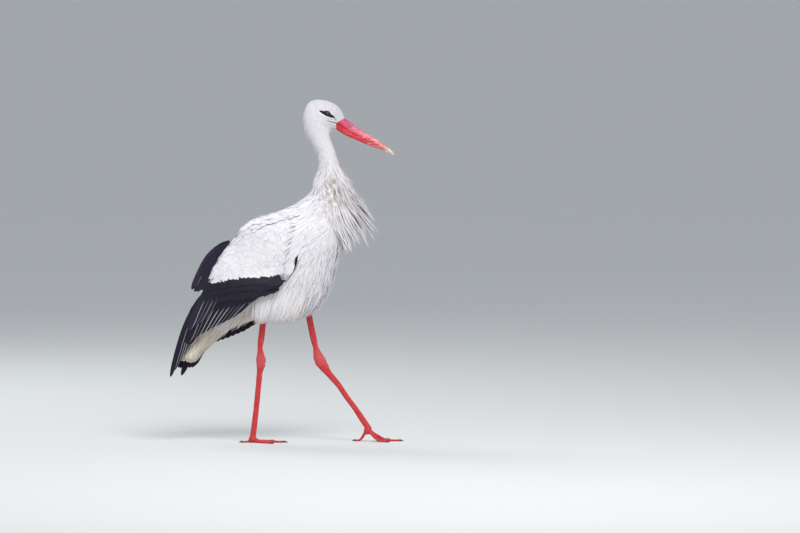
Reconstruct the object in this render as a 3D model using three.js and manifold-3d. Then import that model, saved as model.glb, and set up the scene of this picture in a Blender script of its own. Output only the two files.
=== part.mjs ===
// A life-size white stork in mid stride, as a still model of closed solids.
// Millimetres, +Z up. The bird faces +X, its left side is +Y, and both feet rest on the floor at Z = 0.
// The finished group is shifted so that the origin is on the floor under the middle of its bounding box.
import * as THREE from "three";
import { mergeVertices } from "three/addons/utils/BufferGeometryUtils.js";
import Module from "manifold-3d";

const wasm = await Module();
wasm.setup();
const { Manifold, Mesh: RawMesh } = wasm;

// ---------------------------------------------------------------- driving dimensions

const LEFT = 1; // +Y
const RIGHT = -1;
const JOINT_GAP = 0.6; // between pieces that meet on a shared section
const SKIN_GAP = 0.8; // between the body and what lies on it
const BODY_SIDES = 24; // facets round the body
const CUT_TOLERANCE = 0.12; // how far a surface may move when needless vertices go

const EYE_RADIUS = 7.5;
const EYE_PLACE = [114, 21.5, 922]; // x, distance from the midline, z
const MANDIBLE_SHARE = 0.42; // the lower mandible's share of the bill's depth
const BILL_AXIS = [0.87, -0.49]; // x, z: the way the bill points

const WING_COVER = 7; // least depth of wing feathers over the trunk
const TOE_DEPTH = 9.5;
const TOE_WIDTH = 9;
const FLAT_SHARE = 0.66; // a resting toe's axis is this share of its half depth above the floor

// ---------------------------------------------------------------- the body's outline

// One section of the body is [upper outline x, z, lower outline x, z, half width]. The list runs from the
// base of the bill over the crown, down the neck and along the trunk to the end of the tail.
const BODY = [
  [162, 908, 138, 875, 13],
  [151, 932, 131, 871, 20],
  [137, 946, 127, 869, 25],
  [118, 955, 125, 866, 28.5],
  [95, 960, 123, 864, 30],
  [73, 958, 122, 861, 30],
  [56, 945, 122, 857, 29],
  [46, 918, 122, 851, 28],
  [45, 893, 123, 846, 27],
  [50, 867, 127, 838, 26],
  [60, 847, 131, 827, 25.5],
  [72, 825, 135, 816, 26],
  [83, 801, 140, 799, 26],
  [87, 780, 146, 781, 27],
  [86, 763, 153, 762, 29],
  [77, 743, 161, 736, 34],
  [70, 724, 169, 706, 42],
  [67, 704, 176, 674, 52],
  [48, 686, 179, 640, 64],
  [17, 666, 174, 595, 77],
  [-20, 650, 158, 547, 88],
  [-59, 638, 140, 500, 95],
  [-98, 625, 126, 452, 98],
  [-123, 606, 106, 410, 98],
  [-147, 573, 67, 374, 95],
  [-168, 539, 8, 353, 88],
  [-188, 503, -53, 349, 76],
  [-207, 463, -104, 349, 62],
  [-224, 427, -140, 332, 50],
  [-241, 393, -168, 312, 42],
  [-258, 357, -190, 293, 38],
  [-272, 321, -213, 273, 36],
  [-286, 281, -235, 248, 37],
  [-298, 243, -256, 224, 37],
  [-302, 229, -266, 216, 29],
];
// The sections where one piece ends and the next begins.
const HEAD_END = 10;
const NECK_MIDDLE = 14;
const NECK_END = 17;
const TRUNK_END = 28;
const TAIL_END = BODY.length - 1;

// ---------------------------------------------------------------- small tools

// A smooth curve through points of any number of coordinates, read at t from 0 to 1.
function curveThrough(rows) {
  const triples = Math.ceil(rows[0].length / 3);
  const curves = [...Array(triples).keys()].map((k) => {
    const points = rows.map((r) => new THREE.Vector3(r[3 * k], r[3 * k + 1] ?? 0, r[3 * k + 2] ?? 0));
    return new THREE.CatmullRomCurve3(points, false, "catmullrom", 0.5);
  });
  return (t) => curves.flatMap((c) => c.getPoint(t).toArray());
}

// Moves every vertex of a closed geometry, and turns its faces outwards if the move mirrored it.
function reshape(geometry, place) {
  const position = geometry.attributes.position;
  const v = new THREE.Vector3();
  for (let i = 0; i < position.count; i++) {
    v.fromBufferAttribute(position, i);
    position.setXYZ(i, ...place(v));
  }
  const index = geometry.index.array;
  const corner = (i) => new THREE.Vector3().fromBufferAttribute(position, index[i]);
  let volume = 0;
  for (let i = 0; i < index.length; i += 3) {
    volume += corner(i).dot(corner(i + 1).cross(corner(i + 2)));
  }
  if (volume < 0) {
    for (let i = 0; i < index.length; i += 3) {
      [index[i + 1], index[i + 2]] = [index[i + 2], index[i + 1]];
    }
  }
  return geometry;
}

function solid(geometry) {
  const bare = geometry.clone();
  bare.deleteAttribute("normal");
  bare.deleteAttribute("uv");
  const merged = mergeVertices(bare, 1e-4);
  return new Manifold(
    new RawMesh({
      numProp: 3,
      vertProperties: merged.attributes.position.array,
      triVerts: new Uint32Array(merged.index.array),
    }),
  );
}

// The largest piece of a solid, without the slivers and the needless vertices that a cut may leave.
function mainPiece(manifold) {
  const largest = manifold.decompose().reduce((a, b) => (b.volume() > a.volume() ? b : a));
  return largest.simplify(CUT_TOLERANCE);
}

function geometryOf(manifold) {
  const raw = manifold.getMesh();
  const geometry = new THREE.BufferGeometry();
  geometry.setAttribute("position", new THREE.BufferAttribute(raw.vertProperties, 3));
  geometry.setIndex(new THREE.BufferAttribute(raw.triVerts, 1));
  geometry.computeVertexNormals();
  return geometry;
}

// ---------------------------------------------------------------- shapes

// A closed body through sections like those of BODY, from section `first` to section `last`.
// waist is where a section is widest, from 0 at its lower outline to 1 at its upper one.
function loft(sections, options = {}) {
  const { first = 0, last = sections.length - 1, around = BODY_SIDES, steps = 1 } = options;
  const { y = () => 0, grow = 0, waist = 0.5, trim = [0, 0] } = options;
  const read = curveThrough(sections);
  const spans = sections.length - 1;
  const length = (last - first) * steps;
  const drum = new THREE.CylinderGeometry(1, 1, 1, around, length);
  return reshape(drum, (p) => {
    const share = 0.5 - p.y;
    const t = (first + share * (last - first)) / spans;
    let [topX, topZ, lowX, lowZ, half] = read(t);
    const tall = Math.hypot(topX - lowX, topZ - lowZ);
    const up = [(topX - lowX) / tall, (topZ - lowZ) / tall];
    const reach = p.z > 0 ? tall * (1 - waist) + grow : tall * waist + grow;
    // trim draws an end in by a hair, square to the section, to leave a gap to the next piece
    const shift = share < 1e-6 ? trim[0] : share > 1 - 1e-6 ? -trim[1] : 0;
    const onward = read(Math.min(1, t + 0.01));
    const back = read(Math.max(0, t - 0.01));
    const forward = [onward[0] + onward[2] - back[0] - back[2], onward[1] + onward[3] - back[1] - back[3]];
    const sign = forward[0] * up[1] - forward[1] * up[0] > 0 ? 1 : -1;
    const x = lowX + up[0] * (tall * waist + reach * p.z) + shift * sign * up[1];
    const z = lowZ + up[1] * (tall * waist + reach * p.z) - shift * sign * up[0];
    return [x, y(share) + p.x * (half + grow), z];
  });
}

// A closed tube along a path of [x, y, z, half width, half depth], never lower than the floor.
function limb(path, { around = 8, steps = 1 } = {}) {
  const read = curveThrough(path);
  const drum = new THREE.CylinderGeometry(1, 1, 1, around, (path.length - 1) * steps);
  const upward = new THREE.Vector3(0, 0, 1);
  return reshape(drum, (p) => {
    const t = 0.5 - p.y;
    const [x, y, z, wide, deep] = read(t);
    const ahead = new THREE.Vector3(...read(Math.min(1, t + 0.02)).slice(0, 3));
    ahead.sub(new THREE.Vector3(...read(Math.max(0, t - 0.02)).slice(0, 3))).normalize();
    const side = new THREE.Vector3().crossVectors(ahead, upward).normalize();
    const rise = new THREE.Vector3().crossVectors(side, ahead);
    const q = new THREE.Vector3(x, y, z).addScaledVector(side, p.x * wide).addScaledVector(rise, p.z * deep);
    return [q.x, q.y, Math.max(0, q.z)];
  });
}

// How far the body's side stands from the midline at (x, z), or 0 outside its outline.
const readBody = curveThrough(BODY);
function bodySide(x, z) {
  const samples = 160;
  const start = NECK_END / (BODY.length - 1);
  let before = null;
  for (let i = 0; i <= samples; i++) {
    const [topX, topZ, lowX, lowZ, half] = readBody(start + (1 - start) * (i / samples));
    const across = (topX - lowX) * (z - lowZ) - (topZ - lowZ) * (x - lowX);
    if (before !== null && across * before <= 0) {
      const tall = (topX - lowX) ** 2 + (topZ - lowZ) ** 2;
      const share = ((x - lowX) * (topX - lowX) + (z - lowZ) * (topZ - lowZ)) / tall;
      const c = 2 * share - 1;
      return Math.abs(c) < 1 ? half * Math.sqrt(1 - c * c) : 0;
    }
    before = across;
  }
  return 0;
}

// The larger of two distances, with the corner between them rounded over.
function smoothMax(a, b, rounding = 12) {
  const near = Math.max(rounding - Math.abs(a - b), 0) / rounding;
  return Math.max(a, b) + (near * near * rounding) / 4;
}

// A sheet of feathers on one side of the body, between an upper and a lower edge that are each a list of
// [x, distance from the midline, z]. depth is its thickness in the middle and rim that at its edges.
function featherPanel(side, upper, lower, options = {}) {
  const { depth = 6, rim = 1.6, swell = 0, along = 12, across = 4, grow = 0 } = options;
  const over = curveThrough(upper);
  const under = curveThrough(lower);
  const sheet = new THREE.BoxGeometry(1, 1, 1, along, across, 1);
  return reshape(sheet, (p) => {
    const u = p.x + 0.5;
    const v = 0.5 - p.y;
    const a = over(u);
    const b = under(u);
    const width = Math.hypot(b[0] - a[0], b[2] - a[2]);
    const down = [(b[0] - a[0]) / width, (b[2] - a[2]) / width];
    let [x, flat, z] = a.map((value, k) => value + (b[k] - value) * v);
    // a grown sheet reaches further at its edges and ends as well as through its thickness
    const reach = Math.abs(p.y) === 0.5 ? -2 * p.y * grow : 0;
    const stretch = Math.abs(p.x) === 0.5 ? 2 * p.x * grow : 0;
    x += down[0] * reach + down[1] * stretch;
    z += down[1] * reach - down[0] * stretch;
    const crown = Math.sin(Math.PI * v);
    const body = bodySide(x, z);
    const out = smoothMax(flat + swell * crown, body > 0 ? body + WING_COVER : 0);
    const thick = rim + (depth - rim) * Math.sqrt(crown);
    return [x, side * (p.z < 0 ? out - thick - grow : out + grow), z];
  });
}

// ---------------------------------------------------------------- the group

const bird = new THREE.Group();

const PLUMAGE_WHITE = { color: 0xe9e6e4, roughness: 0.85 };
const PLUMAGE_BLACK = { color: 0x1b1a20, roughness: 0.6 };
const BILL_RED = { color: 0xd6382f, roughness: 0.4 };
const LEG_RED = { color: 0xcf3f3c, roughness: 0.5 };
const CLAW_HORN = { color: 0x3a302c, roughness: 0.45 };
const EYE_DARK = { color: 0x0c0a09, roughness: 0.08 };

function add(name, manifold, finish) {
  const material = new THREE.MeshStandardMaterial({ metalness: 0, ...finish });
  const mesh = new THREE.Mesh(geometryOf(mainPiece(manifold)), material);
  mesh.name = name;
  bird.add(mesh);
}

// ---------------------------------------------------------------- head, neck, trunk and tail

const half = JOINT_GAP / 2;
const sideName = { [LEFT]: "left", [RIGHT]: "right" };
// The body a little grown, which is cut from everything that lies on it.
const bodyCutter = solid(loft(BODY, { grow: SKIN_GAP }));

function addHead() {
  let head = solid(loft(BODY, { last: HEAD_END, trim: [half, half] }));
  const [x, out, z] = EYE_PLACE;
  for (const side of [LEFT, RIGHT]) {
    const ball = new THREE.SphereGeometry(EYE_RADIUS, 12, 8).translate(x, side * out, z);
    const socket = new THREE.SphereGeometry(EYE_RADIUS + JOINT_GAP, 12, 8).translate(x, side * out, z);
    head = head.subtract(solid(socket));
    add("eye_" + sideName[side], solid(ball), EYE_DARK);
  }
  add("head", head, PLUMAGE_WHITE);
}

function addNeckTrunkAndTail() {
  const piece = (first, last) => solid(loft(BODY, { first, last, trim: [half, half] }));
  add("neck_upper", piece(HEAD_END, NECK_MIDDLE), PLUMAGE_WHITE);
  add("neck_lower", piece(NECK_MIDDLE, NECK_END), PLUMAGE_WHITE);
  add("trunk", piece(NECK_END, TRUNK_END), PLUMAGE_WHITE);
  add("tail", piece(TRUNK_END, TAIL_END), PLUMAGE_WHITE);
}

// The bill's sections are like the body's, from its base to its tip.
const BILL = [
  [161.5, 907.3, 138.5, 875.7, 12.5],
  [182, 894, 160, 862, 11.5],
  [204, 879, 183, 851, 10.5],
  [225, 866, 207, 841, 9.5],
  [246, 853, 231, 831, 8.3],
  [266, 839, 255, 823, 6.6],
  [283, 826, 276, 815, 4.6],
  [294, 816, 290, 809, 3],
  [302, 804.6, 301, 803, 0.8],
];

function addBill() {
  const edge = (row, share) => [row[2] + (row[0] - row[2]) * share, row[3] + (row[1] - row[3]) * share];
  const ahead = BILL_AXIS.map((v) => v * JOINT_GAP);
  const moved = BILL.map((r) => [r[0] + ahead[0], r[1] + ahead[1], r[2] + ahead[0], r[3] + ahead[1], r[4]]);
  const gape = 0.01; // half of the slit between the mandibles, as a share of the bill's depth
  const upper = moved.map((r) => [r[0], r[1], ...edge(r, MANDIBLE_SHARE + gape), r[4]]);
  const lower = moved.map((r) => [...edge(r, MANDIBLE_SHARE - gape), r[2], r[3], r[4] * 0.94]);
  add("bill_upper", solid(loft(upper, { around: 14, waist: 0.08 })), BILL_RED);
  add("bill_lower", solid(loft(lower, { around: 14, waist: 0.9 })), BILL_RED);
}

// ---------------------------------------------------------------- the long breast feathers

// The mass of the breast feathers, as sections from the throat down.
const PLUME_CORE = [
  [141, 797, 109, 791, 14],
  [165, 760, 120, 752, 24],
  [185, 710, 134, 693, 34],
  [205, 665, 143, 637, 40],
  [217, 622, 143, 589, 38],
  [210, 590, 151, 564, 28],
];
// Its pointed locks: root x, y, z, then tip x, y, z.
const PLUME_LOCKS = [
  [150, 0, 775, 266, 2, 575],
  [148, 9, 772, 249, 14, 609],
  [138, -6, 795, 199, -7, 694],
  [155, -12, 735, 230, -12, 548],
  [155, 14, 735, 223, 24, 547],
  [150, -24, 700, 200, -26, 536],
  [150, 26, 700, 202, 38, 540],
  [140, -34, 680, 175, -40, 531],
  [140, 36, 680, 178, 46, 533],
  [118, -44, 710, 147, -58, 562],
  [118, 44, 710, 147, 58, 562],
];
const LOCK_HALF_WIDTH = 13;
const LOCK_HALF_DEPTH = 6;

function addBreastPlume() {
  let plume = solid(loft(PLUME_CORE, { around: 14 }));
  for (const [x0, y0, z0, x1, y1, z1] of PLUME_LOCKS) {
    const at = (s, size) => [
      x0 + (x1 - x0) * s,
      y0 + (y1 - y0) * s,
      z0 + (z1 - z0) * s,
      LOCK_HALF_DEPTH * size,
      LOCK_HALF_WIDTH * size,
    ];
    plume = plume.add(solid(limb([at(0, 0.5), at(0.35, 1), at(0.7, 0.8), at(1, 0.1)], { around: 6 })));
  }
  add("breast_plume", plume.subtract(bodyCutter), PLUMAGE_WHITE);
}

// ---------------------------------------------------------------- wings

// Each wing is four sheets: the white coverts and shoulder feathers, the black secondaries, the black
// primaries at the tip, and the tertials that lie over the rump. Edge points are [x, from midline, z].
const WING = {
  [RIGHT]: {
    coverts: {
      upper: [
        [59, 22, 671], [17, 26, 659], [-22, 28, 643], [-59, 29, 631], [-98, 30, 619],
        [-128, 32, 597], [-152, 36, 564], [-182, 44, 527], [-207, 50, 486], [-222, 56, 443],
      ],
      lower: [
        [63, 62, 643], [53, 86, 581], [34, 98, 525], [11, 104, 480], [-11, 107, 461],
        [-53, 109, 463.5], [-104, 108, 459.5], [-154, 99, 452.5], [-190, 82, 447.5], [-220, 62, 441],
      ],
      look: { depth: 34, swell: 6, along: 16, across: 6 },
    },
    secondaries: {
      upper: [
        [-8, 106, 457], [-53, 109, 461], [-104, 108, 457.5], [-154, 99, 450.5], [-190, 82, 445],
        [-224, 60, 438], [-249, 50, 402], [-283, 42, 343],
      ],
      lower: [
        [-10, 106, 452], [-42, 108, 431], [-81, 106, 417], [-120, 98, 391], [-150, 88, 362],
        [-180, 78, 338], [-222, 64, 317], [-272, 50, 287],
      ],
      look: { depth: 7, swell: 5 },
    },
    primaries: {
      upper: [[-284, 41, 341.5], [-297.5, 37, 306], [-307.5, 34, 269], [-317, 31, 231], [-326, 28, 192]],
      lower: [[-273, 49, 285.5], [-281, 45, 269], [-294, 40, 241], [-306, 35, 213], [-323, 29, 183]],
      look: { depth: 6, along: 6, across: 3 },
    },
    tertials: {
      upper: [[-150, 12, 562], [-180, 13, 524], [-206, 16, 482], [-226, 20, 440], [-241, 26, 404]],
      lower: [[-147, 30, 548], [-172, 36, 506], [-198, 40, 462], [-218, 42, 424], [-243, 38, 397]],
      look: { depth: 4, along: 8, across: 3 },
    },
  },
  [LEFT]: {
    coverts: {
      upper: [
        [59, 22, 671], [17, 26, 659], [-22, 28, 643], [-59, 29, 631], [-98, 30, 620],
        [-125, 32, 600], [-151, 34, 570], [-172, 38, 551],
      ],
      lower: [
        [63, 62, 643], [53, 86, 581], [34, 98, 525], [8, 104, 468], [-50, 109, 450],
        [-104, 108, 450], [-143, 94, 468], [-171, 52, 542],
      ],
      look: { depth: 34, swell: 6, along: 16, across: 6 },
    },
    secondaries: {
      upper: [
        [5, 106, 463], [-50, 109, 447], [-104, 108, 447], [-147, 94, 464], [-182, 72, 484],
        [-227, 60, 435], [-246, 50, 391], [-255, 44, 337],
      ],
      lower: [
        [3, 107, 456], [-31, 109, 407], [-59, 107, 365], [-87, 100, 329], [-132, 88, 302],
        [-174, 76, 286], [-207, 66, 276], [-230, 56, 267],
      ],
      look: { depth: 7, swell: 5 },
    },
    primaries: {
      upper: [[-256, 43, 335.5], [-272, 39, 301], [-283, 36, 259], [-294, 33, 220], [-299, 30, 190]],
      lower: [[-231.5, 55, 265.5], [-244, 50, 251], [-257, 45, 234], [-272, 39, 211], [-296, 31, 185]],
      look: { depth: 6, along: 6, across: 3 },
    },
    tertials: {
      upper: [[-146, 12, 566], [-175, 13, 554], [-210, 17, 526], [-241, 23, 483], [-267, 30, 430]],
      lower: [[-144, 30, 541], [-171, 34, 517], [-202, 40, 480], [-227, 44, 444], [-248, 40, 419]],
      look: { depth: 4, along: 8, across: 3 },
    },
  },
};

function addWings() {
  for (const side of [LEFT, RIGHT]) {
    let taken = bodyCutter;
    for (const [part, { upper, lower, look }] of Object.entries(WING[side])) {
      const sheet = solid(featherPanel(side, upper, lower, look)).subtract(taken);
      const finish = part === "coverts" ? PLUMAGE_WHITE : PLUMAGE_BLACK;
      add("wing_" + sideName[side] + "_" + part, sheet, finish);
      taken = taken.add(solid(featherPanel(side, upper, lower, { ...look, grow: SKIN_GAP })));
    }
  }
}

// ---------------------------------------------------------------- legs

// Sections are [front x, z, back x, z, half width]. y runs from the hip's side of the piece to the foot's.
const LEG = {
  [RIGHT]: {
    y: [-44, -36, -26, -18],
    thigh: [[-6, 399, -95, 391, 36], [-22, 368, -95, 363, 31], [-42, 346, -90, 337, 21], [-49, 335, -83, 328, 13]],
    shank: [
      [-57.5, 333.2, -74.5, 329.8, 7],
      [-62, 301, -79, 301, 6.5],
      [-66.5, 267, -84, 267, 7],
      [-63, 248, -84, 248, 9],
      [-60, 230, -85, 230, 10.5],
    ],
    tarsus: [
      [-60, 230, -85, 230, 10.5],
      [-62, 214, -84, 214, 10],
      [-68, 197, -84.5, 197, 7.5],
      [-72, 161, -87, 161, 6],
      [-79, 91, -94, 91, 5.8],
      [-84, 45, -100, 43, 6.5],
      [-87, 24, -103.5, 22, 8],
      [-88, 10, -104.5, 9, 8],
    ],
    foot: { x: -96, z: 9.3, heading: -4, landing: 0.24, toes: { 1: 30, 2: 62, 3: 86, 4: 70 } },
  },
  [LEFT]: {
    y: [46, 38, 30, 24],
    thigh: [[109, 421, 14, 399, 36], [95, 393, 28, 371, 31], [81, 370, 39, 351, 20], [73, 354, 46, 346, 12]],
    shank: [
      [67, 352.2, 50, 347.2, 7],
      [77, 315, 60, 311, 6.8],
      [87, 271, 69, 266, 7.5],
      [98.5, 245, 74, 240, 9.5],
      [108, 228, 80, 216, 10.5],
    ],
    tarsus: [
      [108, 228, 80, 216, 10.5],
      [115, 212, 93, 200, 10],
      [125, 195, 109, 185, 7.5],
      [150, 163, 138.5, 153.5, 6],
      [172.3, 129, 161, 120, 5.8],
      [197.5, 95.5, 186, 86.5, 5.8],
      [220.5, 62.5, 207.5, 52, 6.5],
      [230.5, 47.5, 217.5, 37, 8],
      [237, 38, 224, 27.5, 8],
    ],
    foot: { x: 226, z: 30, heading: 2, landing: 0.62, toes: { 1: 36, 2: 64, 3: 88, 4: 72 } },
  },
};
const TOE_SPREAD = { 1: 168, 2: -36, 3: 0, 4: 38 }; // degrees outwards from the third toe
const CLAW_LENGTH = { 1: 8, 2: 10, 3: 12, 4: 10 };
const PAD_HALF = [11.5, 10.5, 10.5]; // x, y, z

// One toe from the pad outwards: it slopes from the pad to the floor, where it has a flat underside, and
// swells a little at each joint.
function toePath(foot, toe, y, side) {
  const angle = THREE.MathUtils.degToRad(foot.heading + side * TOE_SPREAD[toe]);
  const length = foot.toes[toe];
  const size = toe === 1 ? 0.85 : 1;
  const steps = 6;
  return [...Array(steps + 1).keys()].map((i) => {
    const s = i / steps;
    const reach = 5 + (length - 5) * s;
    const taper = size * (1 - 0.32 * s) * (1 + 0.06 * Math.cos(s * Math.PI * 2 * toe));
    const deep = (TOE_DEPTH / 2) * taper;
    const aloft = Math.max(0, 1 - s / foot.landing) ** 1.4;
    return [
      foot.x + reach * Math.cos(angle),
      y + reach * Math.sin(angle),
      FLAT_SHARE * deep + (foot.z - FLAT_SHARE * deep) * aloft,
      (TOE_WIDTH / 2) * taper,
      deep,
    ];
  });
}

function clawPath(toeRows, length) {
  const tip = toeRows[toeRows.length - 1];
  const before = toeRows[toeRows.length - 2];
  const run = Math.hypot(tip[0] - before[0], tip[1] - before[1]);
  const way = [(tip[0] - before[0]) / run, (tip[1] - before[1]) / run];
  const at = (s, wide, deep, z) => [
    tip[0] + way[0] * (JOINT_GAP + length * s),
    tip[1] + way[1] * (JOINT_GAP + length * s),
    z,
    wide,
    deep,
  ];
  return [at(0, 2.9, 2.6, 3), at(0.4, 2.7, 2.2, 3), at(0.8, 2, 1.4, 2.2), at(1, 0.8, 0.7, 1.4)];
}

function addFoot(side, foot, y) {
  const name = sideName[side];
  // The pad joins the toes, and is flat where it stands on the floor.
  const pad = new THREE.SphereGeometry(1, 12, 8);
  const padSolid = solid(
    reshape(pad, (p) => [
      foot.x + p.x * PAD_HALF[0],
      y + p.z * PAD_HALF[1],
      Math.max(0, foot.z + p.y * PAD_HALF[2]),
    ]),
  );
  add("foot_" + name, padSolid, LEG_RED);
  const padCutter = padSolid.translate([-foot.x, -y, -foot.z]).scale([1.07, 1.07, 1.07]);
  const taken = [padCutter.translate([foot.x, y, foot.z])];
  for (const toe of [3, 2, 4, 1]) {
    const rows = toePath(foot, toe, y, side);
    let toeSolid = solid(limb(rows));
    for (const other of taken) toeSolid = toeSolid.subtract(other);
    const grown = rows.map((r) => [r[0], r[1], r[2], r[3] + JOINT_GAP, r[4] + JOINT_GAP]);
    taken.push(solid(limb(grown)));
    add("toe_" + name + "_" + toe, toeSolid, LEG_RED);
    add("claw_" + name + "_" + toe, solid(limb(clawPath(rows, CLAW_LENGTH[toe]), { around: 6 })), CLAW_HORN);
  }
  return taken.reduce((a, b) => a.add(b));
}

function addLegs() {
  for (const side of [LEFT, RIGHT]) {
    const { y, thigh, shank, tarsus, foot } = LEG[side];
    const name = sideName[side];
    const between = (a, b) => (share) => a + (b - a) * share;
    const footCutter = addFoot(side, foot, y[3]);
    const thighSolid = solid(loft(thigh, { around: 16, steps: 2, y: between(y[0], y[1]), trim: [0, half] }));
    add("thigh_" + name, thighSolid.subtract(bodyCutter), PLUMAGE_WHITE);
    const shankLoft = loft(shank, { around: 12, y: between(y[1], y[2]), trim: [half + 0.6, half] });
    add("shank_" + name, solid(shankLoft), LEG_RED);
    const tarsusLoft = loft(tarsus, { around: 12, y: between(y[2], y[3]), trim: [half, 0] });
    add("tarsus_" + name, solid(tarsusLoft).subtract(footCutter), LEG_RED);
  }
}

addHead();
addBill();
addNeckTrunkAndTail();
addBreastPlume();
addWings();
addLegs();

// The origin: on the floor, under the middle of the bounding box.
const box = new THREE.Box3().setFromObject(bird, true);
const middle = box.getCenter(new THREE.Vector3());
bird.position.set(-middle.x, -middle.y, 0);

export default bird;
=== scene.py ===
# %% [markdown]
# # A life-size white stork in mid stride
#
# The bird is built the way a museum model is: a smooth skin over the body, then every feather laid on it as a
# thin solid vane, from the face down to the tail. All lengths are in metres, +X is the way the bird walks and
# +Z is up. The solids that come with the frame give the outline, and the skin and the feathers keep to it
# within a few millimetres.

# %% Tools and the frame
import math
import bmesh
import bpy
import numpy as np
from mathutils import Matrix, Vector
from mathutils.bvhtree import BVHTree
from mathutils.kdtree import KDTree


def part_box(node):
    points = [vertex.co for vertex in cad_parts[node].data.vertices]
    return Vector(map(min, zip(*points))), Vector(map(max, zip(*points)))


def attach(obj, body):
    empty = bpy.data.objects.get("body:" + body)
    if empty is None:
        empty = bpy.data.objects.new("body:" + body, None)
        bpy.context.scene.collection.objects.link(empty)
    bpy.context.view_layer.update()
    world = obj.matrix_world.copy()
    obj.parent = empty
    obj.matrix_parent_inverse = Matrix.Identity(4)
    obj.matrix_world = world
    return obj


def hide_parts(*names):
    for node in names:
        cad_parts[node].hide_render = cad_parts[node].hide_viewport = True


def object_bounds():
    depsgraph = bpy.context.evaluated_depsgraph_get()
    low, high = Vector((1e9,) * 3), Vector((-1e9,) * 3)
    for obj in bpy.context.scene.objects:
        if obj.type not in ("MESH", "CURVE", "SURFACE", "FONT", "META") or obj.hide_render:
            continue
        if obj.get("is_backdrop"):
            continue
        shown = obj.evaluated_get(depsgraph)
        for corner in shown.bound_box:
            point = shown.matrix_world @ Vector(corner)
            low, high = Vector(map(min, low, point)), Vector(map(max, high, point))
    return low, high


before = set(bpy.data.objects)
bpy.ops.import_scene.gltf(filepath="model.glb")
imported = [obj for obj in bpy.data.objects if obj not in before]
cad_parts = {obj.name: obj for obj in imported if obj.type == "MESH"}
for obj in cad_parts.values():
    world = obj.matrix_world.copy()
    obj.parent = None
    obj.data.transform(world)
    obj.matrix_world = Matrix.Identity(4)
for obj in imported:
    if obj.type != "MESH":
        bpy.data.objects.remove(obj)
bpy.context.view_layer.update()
chance = np.random.default_rng(1907)

# %% [markdown]
# The guide numbers below are in millimetres from a point on the floor under the bird. The frame's own origin
# is a hair away from that point, so the right eye, whose place is known in both, tells the difference.

# %% From millimetres on the bird to metres in the frame
EYE = (114.0, 21.5, 922.0)
eye_low, eye_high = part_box("eye_right")
SHIFT = np.array((eye_low + eye_high) / 2) - np.array([EYE[0], -EYE[1], EYE[2]]) * 0.001


def metres(points):
    return np.asarray(points, float) * 0.001 + SHIFT


def millimetres(points):
    return (np.asarray(points, float) - SHIFT) * 1000


print("shift of the origin in mm:", np.round(SHIFT * 1000, 2))

# %% [markdown]
# ## Helpers
#
# Small functions that the later cells share: arithmetic on arrays of points, and the few steps that turn
# arrays of points into meshes and meshes into objects.

# %% Arrays of points
SIDES = ((-1, "right"), (1, "left"))


def unit(vectors, tiny=0.0):
    """Vectors along the last axis, brought to length 1."""
    return vectors / (np.linalg.norm(vectors, axis=-1, keepdims=True) + tiny)


def rise(value, low, high):
    """0 below low, 1 above high, smooth in between."""
    x = np.clip((np.asarray(value, float) - low) / (high - low), 0, 1)
    return x * x * (3 - 2 * x)


def bowed(start, bend, end, u):
    """Points at shares u of a curve from start to end that is drawn towards bend."""
    return start * (1 - u) ** 2 + bend * 2 * u * (1 - u) + end * u ** 2


def eased(line):
    """The inner points of a line, each drawn towards its two neighbours."""
    return (line[:-2] + line[1:-1] * 2 + line[2:]) / 4


def path_lengths(paths):
    return np.linalg.norm(np.diff(paths, axis=1), axis=2).sum(1)


def picked(parts, mask):
    """Several arrays with only the rows that the mask keeps."""
    return tuple(part[mask] for part in parts)


def numbered(kind, name):
    """The names of a foot's four toes or claws."""
    return [kind + name + "_" + str(k) for k in (1, 2, 3, 4)]


# %% Meshes and objects
def add_object(name, data, linked=True):
    made = bpy.data.objects.new(name, data)
    if linked:
        bpy.context.scene.collection.objects.link(made)
    return made


def plain_mesh(name, points, faces):
    mesh = bpy.data.meshes.new(name)
    mesh.from_pydata([tuple(p) for p in points], [], [tuple(int(i) for i in f) for f in faces])
    mesh.update()
    return mesh


def finished_mesh(made, name):
    """The object's mesh with its modifiers applied, as a new mesh."""
    graph = bpy.context.evaluated_depsgraph_get()
    mesh = bpy.data.meshes.new_from_object(made.evaluated_get(graph))
    mesh.name = name
    return mesh


def mesh_points(mesh):
    """A mesh's points as rows of x, y and z, in single precision."""
    co = np.empty(len(mesh.vertices) * 3, np.float32)
    mesh.vertices.foreach_get("co", co)
    return co.reshape(-1, 3)


def move_points(mesh, points):
    mesh.vertices.foreach_set("co", np.asarray(points, np.float32).ravel())
    mesh.update()


def shade_smooth(mesh):
    mesh.polygons.foreach_set("use_smooth", [True] * len(mesh.polygons))


def surface(mesh):
    """A tree that finds nearest points and hits on a mesh, with the middles and normals of its faces."""
    tree = BVHTree.FromPolygons([v.co for v in mesh.vertices], [f.vertices for f in mesh.polygons])
    middles = np.array([f.center for f in mesh.polygons])
    normals = np.array([f.normal for f in mesh.polygons])
    return tree, middles, normals


def point_tree(points):
    tree = KDTree(len(points))
    for i, p in enumerate(points):
        tree.insert(p, i)
    tree.balance()
    return tree


# %% Closed tubes
def ring_grid(rows, around, first, last):
    """A tube's two parameters: from first to last along it, and the angle round it."""
    along = np.repeat(np.linspace(first, last, rows), around)
    return along, np.tile(np.linspace(0, 2 * math.pi, around, endpoint=False), rows)


def capped(points, around):
    """A tube's rings of points with the middles of its two end rings added, to close it."""
    return np.vstack([points, points[:around].mean(0), points[-around:].mean(0)])


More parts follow.
